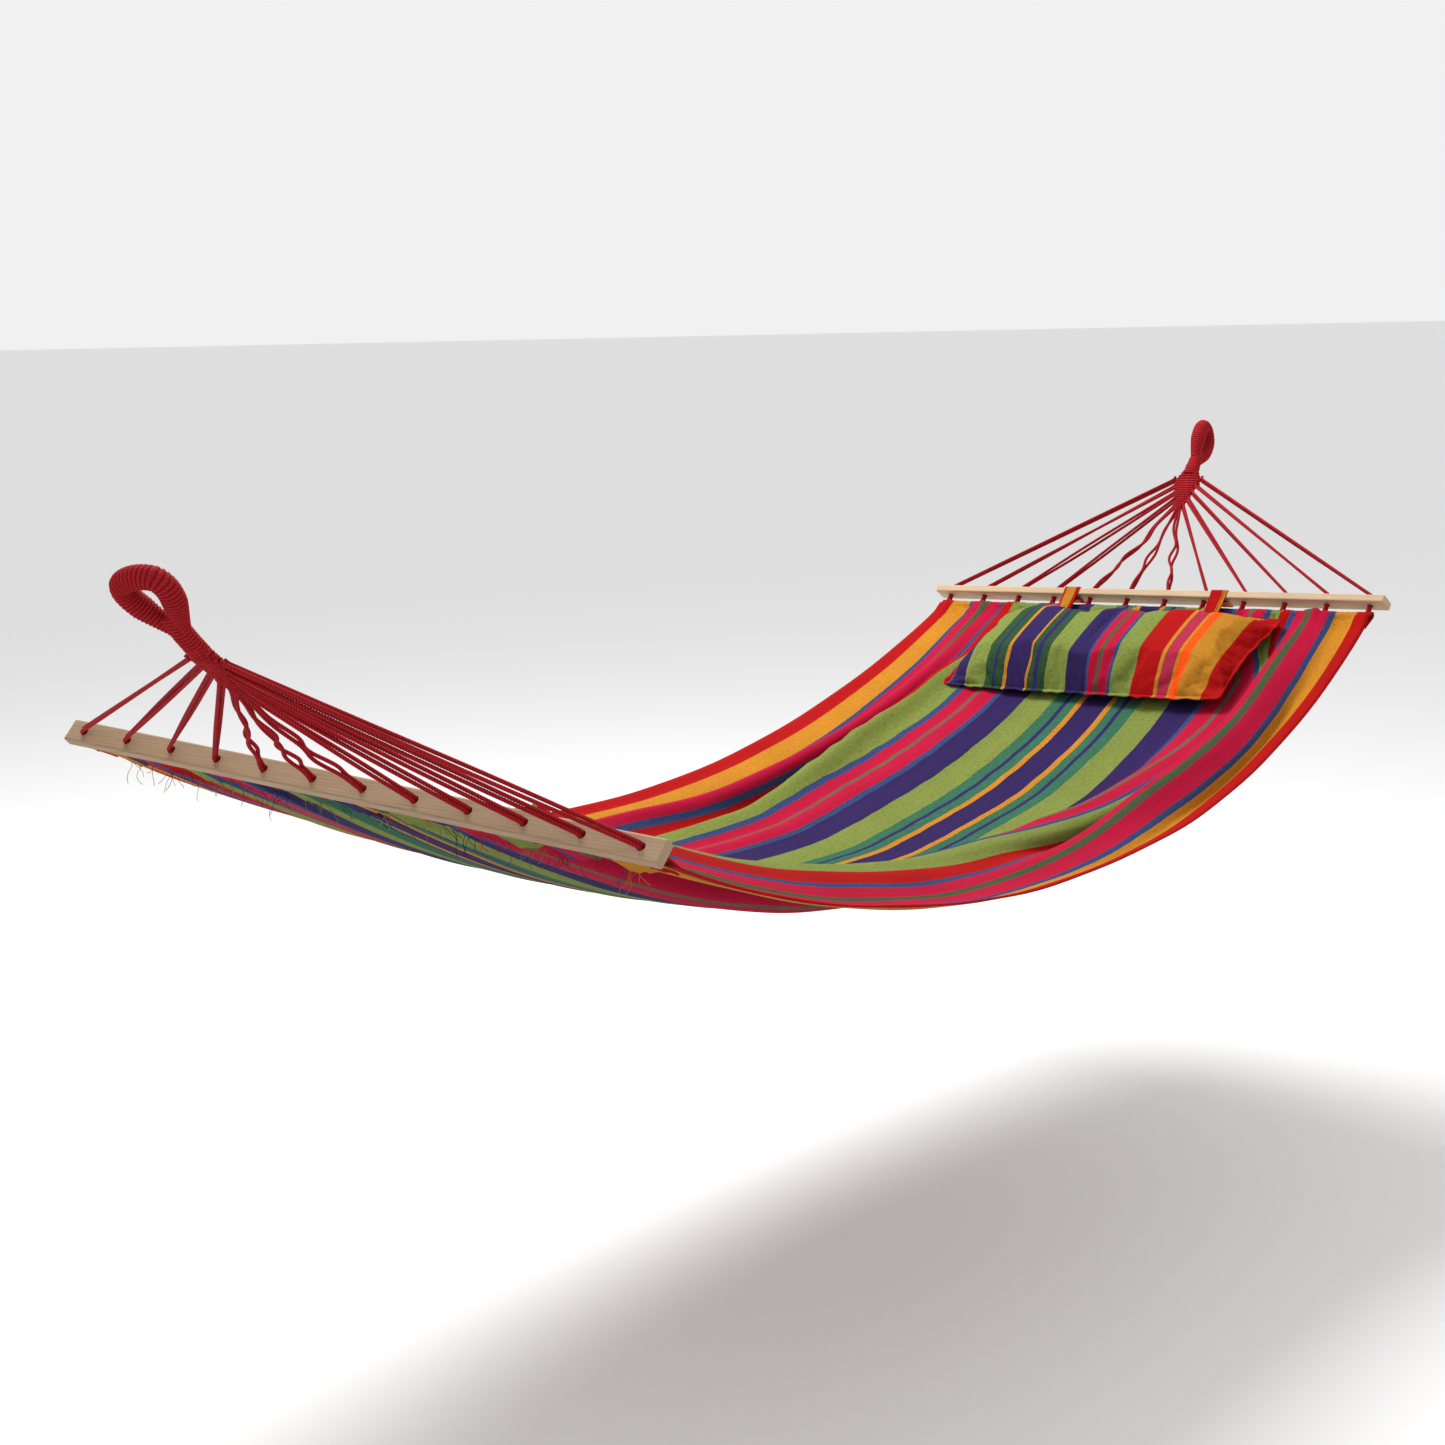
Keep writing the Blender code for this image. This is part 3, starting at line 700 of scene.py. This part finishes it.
def make_neck(end):
    """The winding that binds the eye's two legs to the clew; it turns along its length from the eye's plane to
    the bar's.
    """
    upper = end.eye_start + end.eye_along * 0.030
    lower = end.neck - end.pull * 0.020
    line = flowing_line([upper, end.eye_start, end.neck, lower], 0.0005, 0.012)
    share = np.linspace(0.0, 1.0, len(line))
    sideways = end.eye_sideways * np.sign(np.dot(end.eye_sideways, end.across) or 1.0)
    axis = unit(sideways[None] * (1 - ease(share))[:, None] + end.across[None] * ease(share)[:, None])
    half_a = np.interp(share, [0, 0.45, 1], [0.0150, 0.0136, 0.0146])
    half_b = np.interp(share, [0, 0.45, 1], [0.0086, 0.0124, 0.0118])
    sides = 54
    points, outward, angle = sweep(line, axis, half_a - WINDING_SINK, half_b - WINDING_SINK, sides)
    long = float(np.linalg.norm(np.diff(line, axis=0), axis=1).sum())
    # lay, lower between turns and plies, paints shade in the winding's grooves.
    height, lay = wrapping(share[:, None], angle, round(long / WINDING_PITCH), 14)
    rings = len(line)
    skin = points + outward * (WINDING_HEIGHT * height)[..., None]
    neck = piece(
        end.name + "_neck_winding",
        np.vstack([skin.reshape(-1, 3), line[[0, -1]]]),
        ring_quads(rings, sides),
        end_fans(rings, sides, rings * sides),
        lay=np.concatenate([lay.ravel(), [0.5, 0.5]]),
    )
    neck.data.materials.append(CORD)
    stop = end.neck - end.pull * 0.006
    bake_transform(neck)


# ---------------------------------------------------------------- bed


# Long folds of the bed: how far from the middle (by place along the bed), inner and outer width, height
FOLDS = (
    (((0, -0.335), (0.3, -0.325), (0.5, -0.302), (0.65, -0.262), (0.85, -0.250)), 0.040, 0.130,
     ((0, 0.034), (0.12, 0.066), (0.3, 0.070), (0.5, 0.062), (0.7, 0.040), (0.9, 0))),
    (((0.3, -0.440), (0.7, -0.455), (1, -0.460)), 0.034, 0.060,
     ((0.36, 0), (0.5, 0.012), (0.72, 0.050), (0.9, 0.046), (1, 0.010))),
    (((0, 0.455), (1, 0.455)), 0.030, 0.020,
     ((0, 0), (0.3, 0.006), (0.5, 0.020), (0.7, 0.026), (0.85, 0.018), (1, 0.004))),
    (((0, 0.335), (0.6, 0.340), (0.87, 0.385), (1, 0.395)), 0.034, 0.024,
     ((0, 0), (0.35, 0.002), (0.55, 0.018), (0.72, 0.035), (0.86, 0.028), (0.93, 0.012), (1, 0.004))),
    (((0, 0.245), (1, 0.245)), 0.020, 0.020, ((0, 0), (0.3, 0.005), (0.6, 0.006), (0.8, 0.003), (1, 0))),
    (((0, 0.385), (0.6, 0.395), (1, 0.430)), 0.050, 0.030,
     ((0, 0), (0.35, -0.002), (0.6, -0.018), (0.85, -0.014), (1, 0))),
    (((0, -0.385), (1, -0.390)), 0.030, 0.030, ((0.4, 0), (0.65, -0.014), (0.85, -0.022), (1, 0))),
    (((0, -0.545), (1, -0.548)), 0.018, 0.018, ((0.45, 0), (0.6, -0.008), (0.8, -0.016), (1, -0.004))),
    (((0, -0.610), (1, -0.610)), 0.050, 0.050, ((0.1, 0), (0.3, 0.008), (0.5, 0.010), (0.7, 0.002), (1, 0))),
)
# Where the cloth is gathered into small pleats: how far from the middle, half width, share taken up
GATHERS = (
    (((0, -0.37), (1, -0.365)), 0.060,
     ((0, 0), (0.45, 0), (0.6, 0.40), (0.75, 0.75), (0.88, 0.80), (1, 0.60))),
    (((0, 0.492), (1, 0.492)), 0.038,
     ((0, 0.55), (0.22, 0.88), (0.42, 0.84), (0.6, 0.45), (0.9, 0.3), (1, 0.1))),
    (((0, 0.372), (1, 0.400)), 0.034, ((0.55, 0), (0.8, 0.30), (0.9, 0.40), (1, 0.2))),
    (((0, -0.570), (1, -0.575)), 0.030, ((0.3, 0), (0.5, 0.35), (0.9, 0.35), (1, 0))),
)


def hem_inward(side):
    """The cloth's direction into the bed at one end, and the upper side of the cloth there."""
    down = unit(np.array([1.0, 0.0, -2 * SAG_POWER * MIDDLE_SAG / BAR_SPACING])) * (-side, 1, 1)
    up = np.array([-down[2], 0.0, down[0]]) * np.sign(down[0])
    return down, up


def draped(along, across):
    """The bed's hanging form: a sag of |place| ** power along it, deeper in the middle than at its edges."""
    place = 2 * along - 1
    share = 1 - np.abs(place + SAG_SHIFT * across * (1 - place**2)) ** SAG_POWER
    offset = across * CLOTH_WIDTH / 2
    start = foot.hem_point(offset) + hem_inward(-1)[0] * CLOTH_CLEARANCE
    stop = head.hem_point(offset) + hem_inward(1)[0] * CLOTH_CLEARANCE
    points = start + (stop - start) * along[..., None]
    points[..., 2] -= (MIDDLE_SAG + (EDGE_SAG - MIDDLE_SAG) * across**2) * share
    return points


def fold_height(along, flat):
    """Long folds: each adds its height times exp(-(distance from its crest / width) ** 2)."""
    height = np.zeros_like(flat)
    for crest, inner, outer, heights in FOLDS:
        away = flat - along_stops(along, crest)
        width = np.where(away * -np.sign(crest[0][1]) > 0, inner, outer)
        height += along_stops(along, heights) * np.exp(-((away / width) ** 2))
    return height


def ripples(along, flat):
    """Small creases: near each hem, waves that the cords draw in, and over the bed, faint long drag lines."""
    from_hem = np.minimum(along, 1 - along) * BED_ARC
    pitch = (BAR_LENGTH - 2 * HOLE_FROM_END) / (HOLE_COUNT - 1) * CLOTH_HALF * 2 / CLOTH_WIDTH
    between = np.cos(2 * np.pi * flat / pitch)
    near = np.exp(-from_hem / 0.070)
    fine = np.sin(flat * 310 + 2.2 * np.sin(flat * 47)) + 0.6 * np.sin(flat * 171 + 1.7)
    drag = np.sin(flat * 95 + 2 * np.sin(along * 5 + flat * 9)) * np.sin(along * 7.5 + flat * 13)
    dimple = np.sin(flat * 33 + along * 21) * np.sin(along * 33 - flat * 17)
    return -between * near * 0.0065 + fine * near * 0.0022 + drag * 0.0012 + dimple * 0.0008


def bed_surface(along, flat):
    """The bed over its flat cloth: the folds' slopes and the gathers shorten what each stripe covers."""
    height = fold_height(along, flat)
    keep = np.ones_like(flat)
    for centre, width, shares in GATHERS:
        keep *= 1 - along_stops(along, shares) * np.exp(-(((flat - along_stops(along, centre)) / width) ** 4))
    step = np.diff(flat, axis=1) * (keep[:, 1:] + keep[:, :-1]) / 2
    rise = np.diff(height, axis=1)
    level = np.sqrt(np.maximum(step**2 - rise**2, (0.12 * step) ** 2))
    reach = np.concatenate([np.zeros((len(flat), 1)), np.cumsum(level, axis=1)], axis=1)
    across = 2 * reach / reach[:, -1:] - 1
    points = draped(along, across)
    points[..., 2] += height
    return points, across


def bed_rows(count):
    """Places along the bed, closer together near its two hems."""
    even = np.linspace(0.0, 1.0, count)
    return even - 0.11 * np.sin(2 * np.pi * even)


# The hem's section from the bed's end: distance into the bed and height over the cloth, in millimetres
HEM_SECTION = (
    (8, 4.9), (4, 5.1), (0, 5.1), (-2.6, 4.4), (-4.4, 2.6), (-5.1, 0), (-4.4, -2.6), (-2.6, -4.4),
    (0, -5.1), (5, -5.0), (12, -4.4), (20, -3.6), (28, -3.0), (34, -2.8), (36, -2.9),
)


def hem_rows(end, across, crease):
    """The cloth's turn round its hem cord and back under itself, drawn towards the cords at their holes."""
    inward, up = hem_inward(end.side)
    section = np.array(HEM_SECTION) / 1000
    centre = end.hem_point(across * CLOTH_WIDTH / 2)
    rows = centre[None] + section[:, :1, None] * inward + section[:, 1:, None] * up
    share = np.clip(section[:, :1] / 0.036, 0, 1)
    rows = rows + (crease * 0.5 * (0.25 + share))[..., None] * up
    return rows, -0.003 - running_length(section)


def make_bed():
    columns = 151
    flat = np.linspace(-CLOTH_HALF, CLOTH_HALF, columns)[None, :]
    along = bed_rows(292)[:, None]
    along, flat = (array.copy() for array in np.broadcast_arrays(along, flat))
    points, across = bed_surface(along, flat)
    crease = ripples(along, flat)
    normal = unit(np.cross(np.gradient(points, axis=0), np.gradient(points, axis=1)))
    normal = normal * np.sign(normal[..., 2:])
    points = points + normal * crease[..., None]
    length = running_length(points[:, columns // 2])
    for end in (foot, head):
        _, up = hem_inward(end.side)
        gone = length if end is foot else length[-1] - length
        raised = 0.0047 * (1 - ease(gone / HEM_REACH))
        points = points + raised[:, None, None] * up
    foot_rows, foot_run = hem_rows(foot, across[0], crease[0])
    head_rows, head_run = hem_rows(head, across[-1], crease[-1])
    grid = np.concatenate([foot_rows[::-1], points, head_rows])
    down = np.concatenate([foot_run[::-1], length, length[-1] - head_run])[:, None]
    cloth = np.stack(np.broadcast_arrays(flat[:1], down, 0.0), -1)
    edge = CLOTH_HALF - np.abs(cloth[..., 0])
    thickness = 0.0014 + 0.0012 * (1 - ease((edge - 0.010) / 0.004))
    bed = thick_sheet("bed_cloth_woven", grid, thickness, cloth, BED_CLOTH)
    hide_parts("bed_cloth")
    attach(bed, "hammock")


def make_fray():
    """Loose threads at the cut edge under the foot hem.

    Each leaves its root along its own lean, curls by a sine of its length and sags by the square of it.
    """
    count, rings, sides = 110, 12, 3
    draw = np.random.default_rng(11)
    inward, up = hem_inward(-1)
    offset = draw.uniform(-0.92, 0.92, count)
    root = foot.hem_point(offset * CLOTH_WIDTH / 2) + inward * HEM_REACH - up * 0.0035
    length = draw.uniform(0.008, 0.032, count)
    lean = unit(draw.normal(0, 1, (count, 3)) * (0.6, 1.1, 0.25) + (0.3, 0, -0.9))
    side = unit(np.cross(lean, [0.3, 1.0, 0.2]))
    second = np.cross(lean, side)
    share = np.linspace(0, 1, rings)[None, :]
    curls = draw.uniform(0.4, 1.6, count)[:, None]
    turn = 2 * np.pi * share * curls + draw.uniform(0, 6, count)[:, None]
    curl = (0.16 * length[:, None] * share * np.sin(turn))[..., None] * side[:, None]
    curl = curl + (0.16 * length[:, None] * share * np.cos(turn))[..., None] * second[:, None]
    line = root[:, None] + lean[:, None] * (length[:, None] * share)[..., None] + curl
    line[..., 2] -= 0.4 * length[:, None] * share**2
    angle = np.linspace(0, 2 * np.pi, sides, endpoint=False)[None, :, None]
    ring = THREAD_RADIUS * (side[:, None] * np.cos(angle) + second[:, None] * np.sin(angle))
    skin = (line[:, :, None] + ring[:, None]).reshape(count, -1, 3)
    points = np.concatenate([skin, line[:, [0, -1]]], axis=1)
    start = (np.arange(count) * (rings * sides + 2))[:, None, None]
    quads = (ring_quads(rings, sides)[None] + start).reshape(-1, 4)
    ends = (end_fans(rings, sides, rings * sides)[None] + start).reshape(-1, 3)
    dye = np.broadcast_to((offset * CLOTH_HALF)[:, None], points.shape[:2])
    cloth = np.stack([dye, np.zeros_like(dye), np.zeros_like(dye)], -1).reshape(-1, 3)
    fray = piece("foot_hem_fray", points, quads, ends, cloth=cloth)
    fray.data.materials.append(BED_CLOTH)
    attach(fray, "hammock")


# ---------------------------------------------------------------- pillow and straps


def pillow_hinge():
    corner = head.centre + head.lift * (BAR_WIDTH / 2 + STRAP_CLEARANCE + STRAP_THICKNESS)
    corner = corner - head.pull * (BAR_THICKNESS / 2 + STRAP_CLEARANCE)
    inward = np.array([-1.0, 0.0, -1.0])
    inward = unit(inward - head.across * np.dot(inward, head.across))
    return corner + inward * (STRAP_TAIL + HINGE_GAP), inward


HINGE, STRAP_INWARD = pillow_hinge()


def pillow_axes():
    along = np.array([1 - PILLOW_DEPTH / BAR_SPACING])
    target = draped(along, np.zeros(1))[0] + np.array([0.0, 0.0, PILLOW_LIFT])
    down = target - HINGE
    down = unit(down - head.across * np.dot(down, head.across))
    return down, unit(np.cross(head.across, down))


PILLOW_DOWN, PILLOW_UP = pillow_axes()
STRAP_OFFSET = 0.16504


def pillow_outline(wide, deep):
    """The pillow's seam line: its sides pull in between the corners, and its top dips between the straps."""
    half = PILLOW_WIDTH / 2 - 0.002
    x = wide * (half - 0.010 * (1 - deep**2) ** 2)
    x = x + PILLOW_OFF_CENTRE
    from_strap = np.minimum(np.abs(x - STRAP_OFFSET), np.abs(x + STRAP_OFFSET))
    dip = 0.010 * ease(from_strap / 0.10)
    top = HINGE_GAP + 0.007 + dip
    bottom = HINGE_GAP + PILLOW_DEPTH + 0.004 - 0.005 * (1 - wide**2)
    return x, top + (bottom - top) * (deep + 1) / 2


def swell(wide, deep):
    """How far a stuffed cover stands up: the root of (1 - |wide| cubed) x (1 - |deep| cubed)."""
    return np.sqrt(np.maximum(0.0, (1 - np.abs(wide) ** 3.0) * (1 - np.abs(deep) ** 3.0)))


def pillow_place(x, y, z):
    """Pillow sizes to places; the cover sinks onto the bed by the square of how far down the pillow it is.

    It sinks most in its middle, and its two lower corners stay up.
    """
    from_middle = np.clip(np.abs(x - PILLOW_OFF_CENTRE) / (PILLOW_WIDTH / 2), 0, 1)
    sink = PILLOW_SINK * np.clip(y / PILLOW_DEPTH, 0, 1.1) ** 2 * (1 - 0.75 * from_middle**3)
    place = HINGE + x[..., None] * head.across + y[..., None] * PILLOW_DOWN
    return place + (z - sink)[..., None] * PILLOW_UP


def simulate_pillow(pillow, seam):
    """Blows the cover up against its own seam, which stays put, and keeps the shape that it settles in."""
    group = pillow.vertex_groups.new(name="seam")
    group.add([int(i) for i in np.flatnonzero(seam)], 1.0, "REPLACE")
    cloth = pillow.modifiers.new("Stuffing", "CLOTH")
    settings = cloth.settings
    settings.quality = 6
    settings.mass = 0.25
    settings.tension_stiffness = 12
    settings.compression_stiffness = 8
    settings.shear_stiffness = 4
    settings.bending_stiffness = 0.25
    settings.shrink_min = -0.055
    settings.use_pressure = True
    settings.uniform_pressure_force = 4.0
    settings.vertex_group_mass = "seam"
    settings.pin_stiffness = 1.0
    settings.effector_weights.gravity = 0.0
    cloth.collision_settings.use_collision = False
    scene = bpy.context.scene
    for number in range(1, 21):
        scene.frame_set(number)
    settled = pillow.evaluated_get(bpy.context.evaluated_depsgraph_get()).to_mesh()
    points = np.empty(len(settled.vertices) * 3, np.float32)
    settled.vertices.foreach_get("co", points)
    pillow.modifiers.clear()
    pillow.vertex_groups.clear()
    scene.frame_set(1)
    return points.reshape(-1, 3).astype(float)


def make_pillow():
    columns = 121
    rows = 57
    closer = np.sin(np.linspace(-1, 1, columns) * np.pi / 2 * 0.96) / math.sin(np.pi / 2 * 0.96)
    wide, deep = np.meshgrid(closer, np.linspace(-1, 1, rows), indexing="ij")
    x, y = pillow_outline(wide, deep)
    full = swell(wide, deep)
    upper = 0.0008 + PILLOW_CROWN * 0.80 * full
    lower = -0.0008 - PILLOW_BELLY * 0.80 * full
    points = np.stack([pillow_place(x, y, upper), pillow_place(x, y, lower)]).reshape(-1, 3)
    quads, rim = two_sided(columns, rows)
    flat = np.stack([PILLOW_OFF_CENTRE - x, y, 0 * x], -1).reshape(-1, 3)
    pillow = piece("pillow_cover", points, quads, cloth=np.vstack([flat, flat]))
    pillow.data.materials.append(PILLOW_CLOTH)
    seam = np.zeros(len(points), bool)
    seam[rim] = True
    seam[rim + columns * rows] = True
    settled = simulate_pillow(pillow, seam)
    moved = settled - points
    far = np.linalg.norm(moved, axis=1, keepdims=True)
    settled = points + moved * np.minimum(1.0, STUFFING_LIMIT / np.maximum(far, 1e-9))
    sunk = (points - settled) @ PILLOW_UP
    below = np.arange(len(points)) >= columns * rows
    settled += np.outer(np.maximum(sunk - 0.003, 0.0) * below, PILLOW_UP)
    pillow.data.vertices.foreach_set("co", settled.astype(np.float32).ravel())
    pillow.data.update()
    smooth = pillow.modifiers.new("Smooth", "SUBSURF")
    smooth.levels = 1
    smooth.render_levels = 1
    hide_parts("pillow")
    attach(pillow, "pillow")
    make_pillow_edge(x, y, rim)


def make_pillow_edge(x, y, rim):
    """The sewn edge that stands out from the seam: a narrow double strip, puckered along its stitches."""
    line = np.stack([x.ravel()[rim], y.ravel()[rim], 0 * rim], -1)
    line = resampled(np.vstack([line, line[:1]]), SEAM_STEP)[:-1]
    outward = unit(np.cross(np.roll(line, -1, axis=0) - np.roll(line, 1, axis=0), [0.0, 0.0, 1.0]))
    if np.sum(outward * (line - line.mean(axis=0))) < 0:
        outward = -outward
    place = np.arange(len(line)) * SEAM_STEP
    pucker = np.sin(place * 190 + 2 * np.sin(place * 31)) + 0.5 * np.sin(place * 83 + 1.0)
    reach = 0.0062 + 0.0012 * np.sin(place * 120 + 3 * np.sin(place * 17))
    rows = np.array([-0.35, 0.0, 0.35, 0.7, 1.0])
    grid = line[:, None] + outward[:, None] * (rows[None, :] * reach[:, None])[..., None]
    grid[..., 2] += 0.0011 * pucker[:, None] * np.clip(rows, 0, 1)[None, :] + 0.0004
    grid = np.concatenate([grid, grid[:1]])
    cloth = np.stack([PILLOW_OFF_CENTRE - grid[..., 0], grid[..., 1], 0 * grid[..., 0]], -1)
    placed = pillow_place(grid[..., 0], grid[..., 1], grid[..., 2])
    edge = thick_sheet("pillow_sewn_edge", placed, 0.0020, cloth, PILLOW_CLOTH)
    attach(edge, "pillow")


def make_strap(number, offset):
    """A strap looped over the head bar: up from the pillow, round the bar and back down, lying on itself."""
    material = striped_cloth(f"strap_cloth_{number}", STRAP_STRIPES[number], False, start=-STRAP_WIDTH / 2)
    u = BAR_THICKNESS / 2 + STRAP_CLEARANCE + STRAP_THICKNESS / 2
    v = BAR_WIDTH / 2 + STRAP_CLEARANCE + STRAP_THICKNESS / 2
    tail = np.array([np.dot(STRAP_INWARD, head.pull), np.dot(STRAP_INWARD, head.lift)])
    corner = np.array([-u, v])
    under = np.array([-0.0012, -0.0019])
    flat = [corner + tail * STRAP_TAIL, corner + tail * 0.012, corner, (u, v), (u, -v), (-u, -v),
            (-u, v * 0.2), corner + under + tail * 0.014, corner + under + tail * STRAP_TAIL]
    flat = np.array(flat)
    middle = head.centre + head.across * offset
    line = middle + np.outer(flat[:, 0], head.pull) + np.outer(flat[:, 1], head.lift)
    line = flowing_line(line, 0.0016, 0.0034)
    length = running_length(line)
    share = length / length[-1]
    wide = np.linspace(-1, 1, 25)
    gathered = 1 - 0.16 * np.exp(-np.minimum(share, 1 - share) * 9)
    grid = line[:, None] + (wide[None, :] * gathered[:, None] * STRAP_WIDTH / 2)[..., None] * head.across
    tangent = unit(np.gradient(line, axis=0))
    normal = np.cross(tangent, head.across)
    near_end = np.exp(-np.minimum(share, 1 - share) * 14)[:, None]
    crease = 0.0010 * np.sin(wide * 9 + 1)[None, :] * near_end
    crease = crease + 0.0002 * np.sin(wide * 21 + share[:, None] * 40)
    grid = grid + normal[:, None] * crease[..., None]
    cloth = np.stack(np.broadcast_arrays(-wide[None, :] * STRAP_WIDTH / 2, length[:, None], 0.0), -1)
    strap = thick_sheet(f"pillow_strap_{number}_cloth", grid, 0.0011, cloth, material)
    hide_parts(f"pillow_strap_{number}")
    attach(strap, "pillow_straps")


# ---------------------------------------------------------------- carried-over pieces, stage and camera


def finish_bars():
    for end in (foot, head):
        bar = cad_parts[end.name + "_bar"]
        bar.data.materials.clear()
        bar.data.materials.append(PINE[end.name])
        hem_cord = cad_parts[end.name + "_hem_cord"]
        hem_cord.data.materials.clear()
        hem_cord.data.materials.append(CORD)


def make_camera():
    """A camera by its lens, place and three turns: yaw about up, pitch, then roll about its own line."""
    yaw, pitch, roll = 0.6712, -0.1823, -0.0205
    look = np.array([math.cos(yaw) * math.cos(pitch), math.sin(yaw) * math.cos(pitch), math.sin(pitch)])
    level = np.array([math.sin(yaw), -math.cos(yaw), 0.0])
    upright = np.cross(level, look)
    right = math.cos(roll) * level + math.sin(roll) * upright
    up = -math.sin(roll) * level + math.cos(roll) * upright
    data = bpy.data.cameras.new("view")
    data.sensor_width = 36.0
    data.lens = 57.16
    data.clip_end = 100.0
    camera = bpy.data.objects.new("view", data)
    bpy.context.scene.collection.objects.link(camera)
    turned = Matrix([list(right), list(up), list(-look)]).transposed().to_4x4()
    turned.translation = (-2.9347, -2.1038, 0.2999)
    camera.matrix_world = turned
    bpy.context.scene.camera = camera


def make_light(name, place, target, size, power):
    data = bpy.data.lights.new(name, "AREA")
    data.shape = "DISK"
    data.size = size
    data.energy = power
    light = bpy.data.objects.new(name, data)
    bpy.context.scene.collection.objects.link(light)
    away = unit(np.array(place, float) - np.array(target, float))
    side = unit(np.cross([0.0, 1.0, 0.01], away))
    turned = Matrix([list(side), list(np.cross(away, side)), list(away)]).transposed().to_4x4()
    turned.translation = place
    light.matrix_world = turned


def make_stage():
    world = bpy.data.worlds.new("studio")
    world.use_nodes = True
    world.node_tree.nodes["Background"].inputs["Color"].default_value = (1.0, 1.0, 1.0, 1.0)
    world.node_tree.nodes["Background"].inputs["Strength"].default_value = 0.88
    bpy.context.scene.world = world
    bpy.context.scene.view_settings.view_transform = "Standard"
    corners = np.array([[-1, -1, 0], [1, -1, 0], [1, 1, 0], [-1, 1, 0]], float) * FLOOR_HALF
    corners[:, 2] = FLOOR_HEIGHT
    mesh = bpy.data.meshes.new("floor")
    mesh.from_pydata(corners.tolist(), [], [[0, 1, 2, 3]])
    floor = bpy.data.objects.new("floor", mesh)
    bpy.context.scene.collection.objects.link(floor)
    pale = Finish("pale_floor", roughness=0.9)
    pale.shader.inputs["Base Color"].default_value = (0.82, 0.82, 0.82, 1.0)
    mesh.materials.append(pale.material)
    make_light("key", (0.6, 1.7, 2.9), (0.1, 0.0, -0.4), 1.8, 170)


make_camera()
for one_end in (foot, head):
    make_cords(one_end)
    make_eye(one_end)
    make_clew(one_end)
    make_neck(one_end)
make_bed()
make_fray()
make_pillow()
make_strap(1, STRAP_OFFSET)
make_strap(2, -STRAP_OFFSET)
finish_bars()
make_stage()
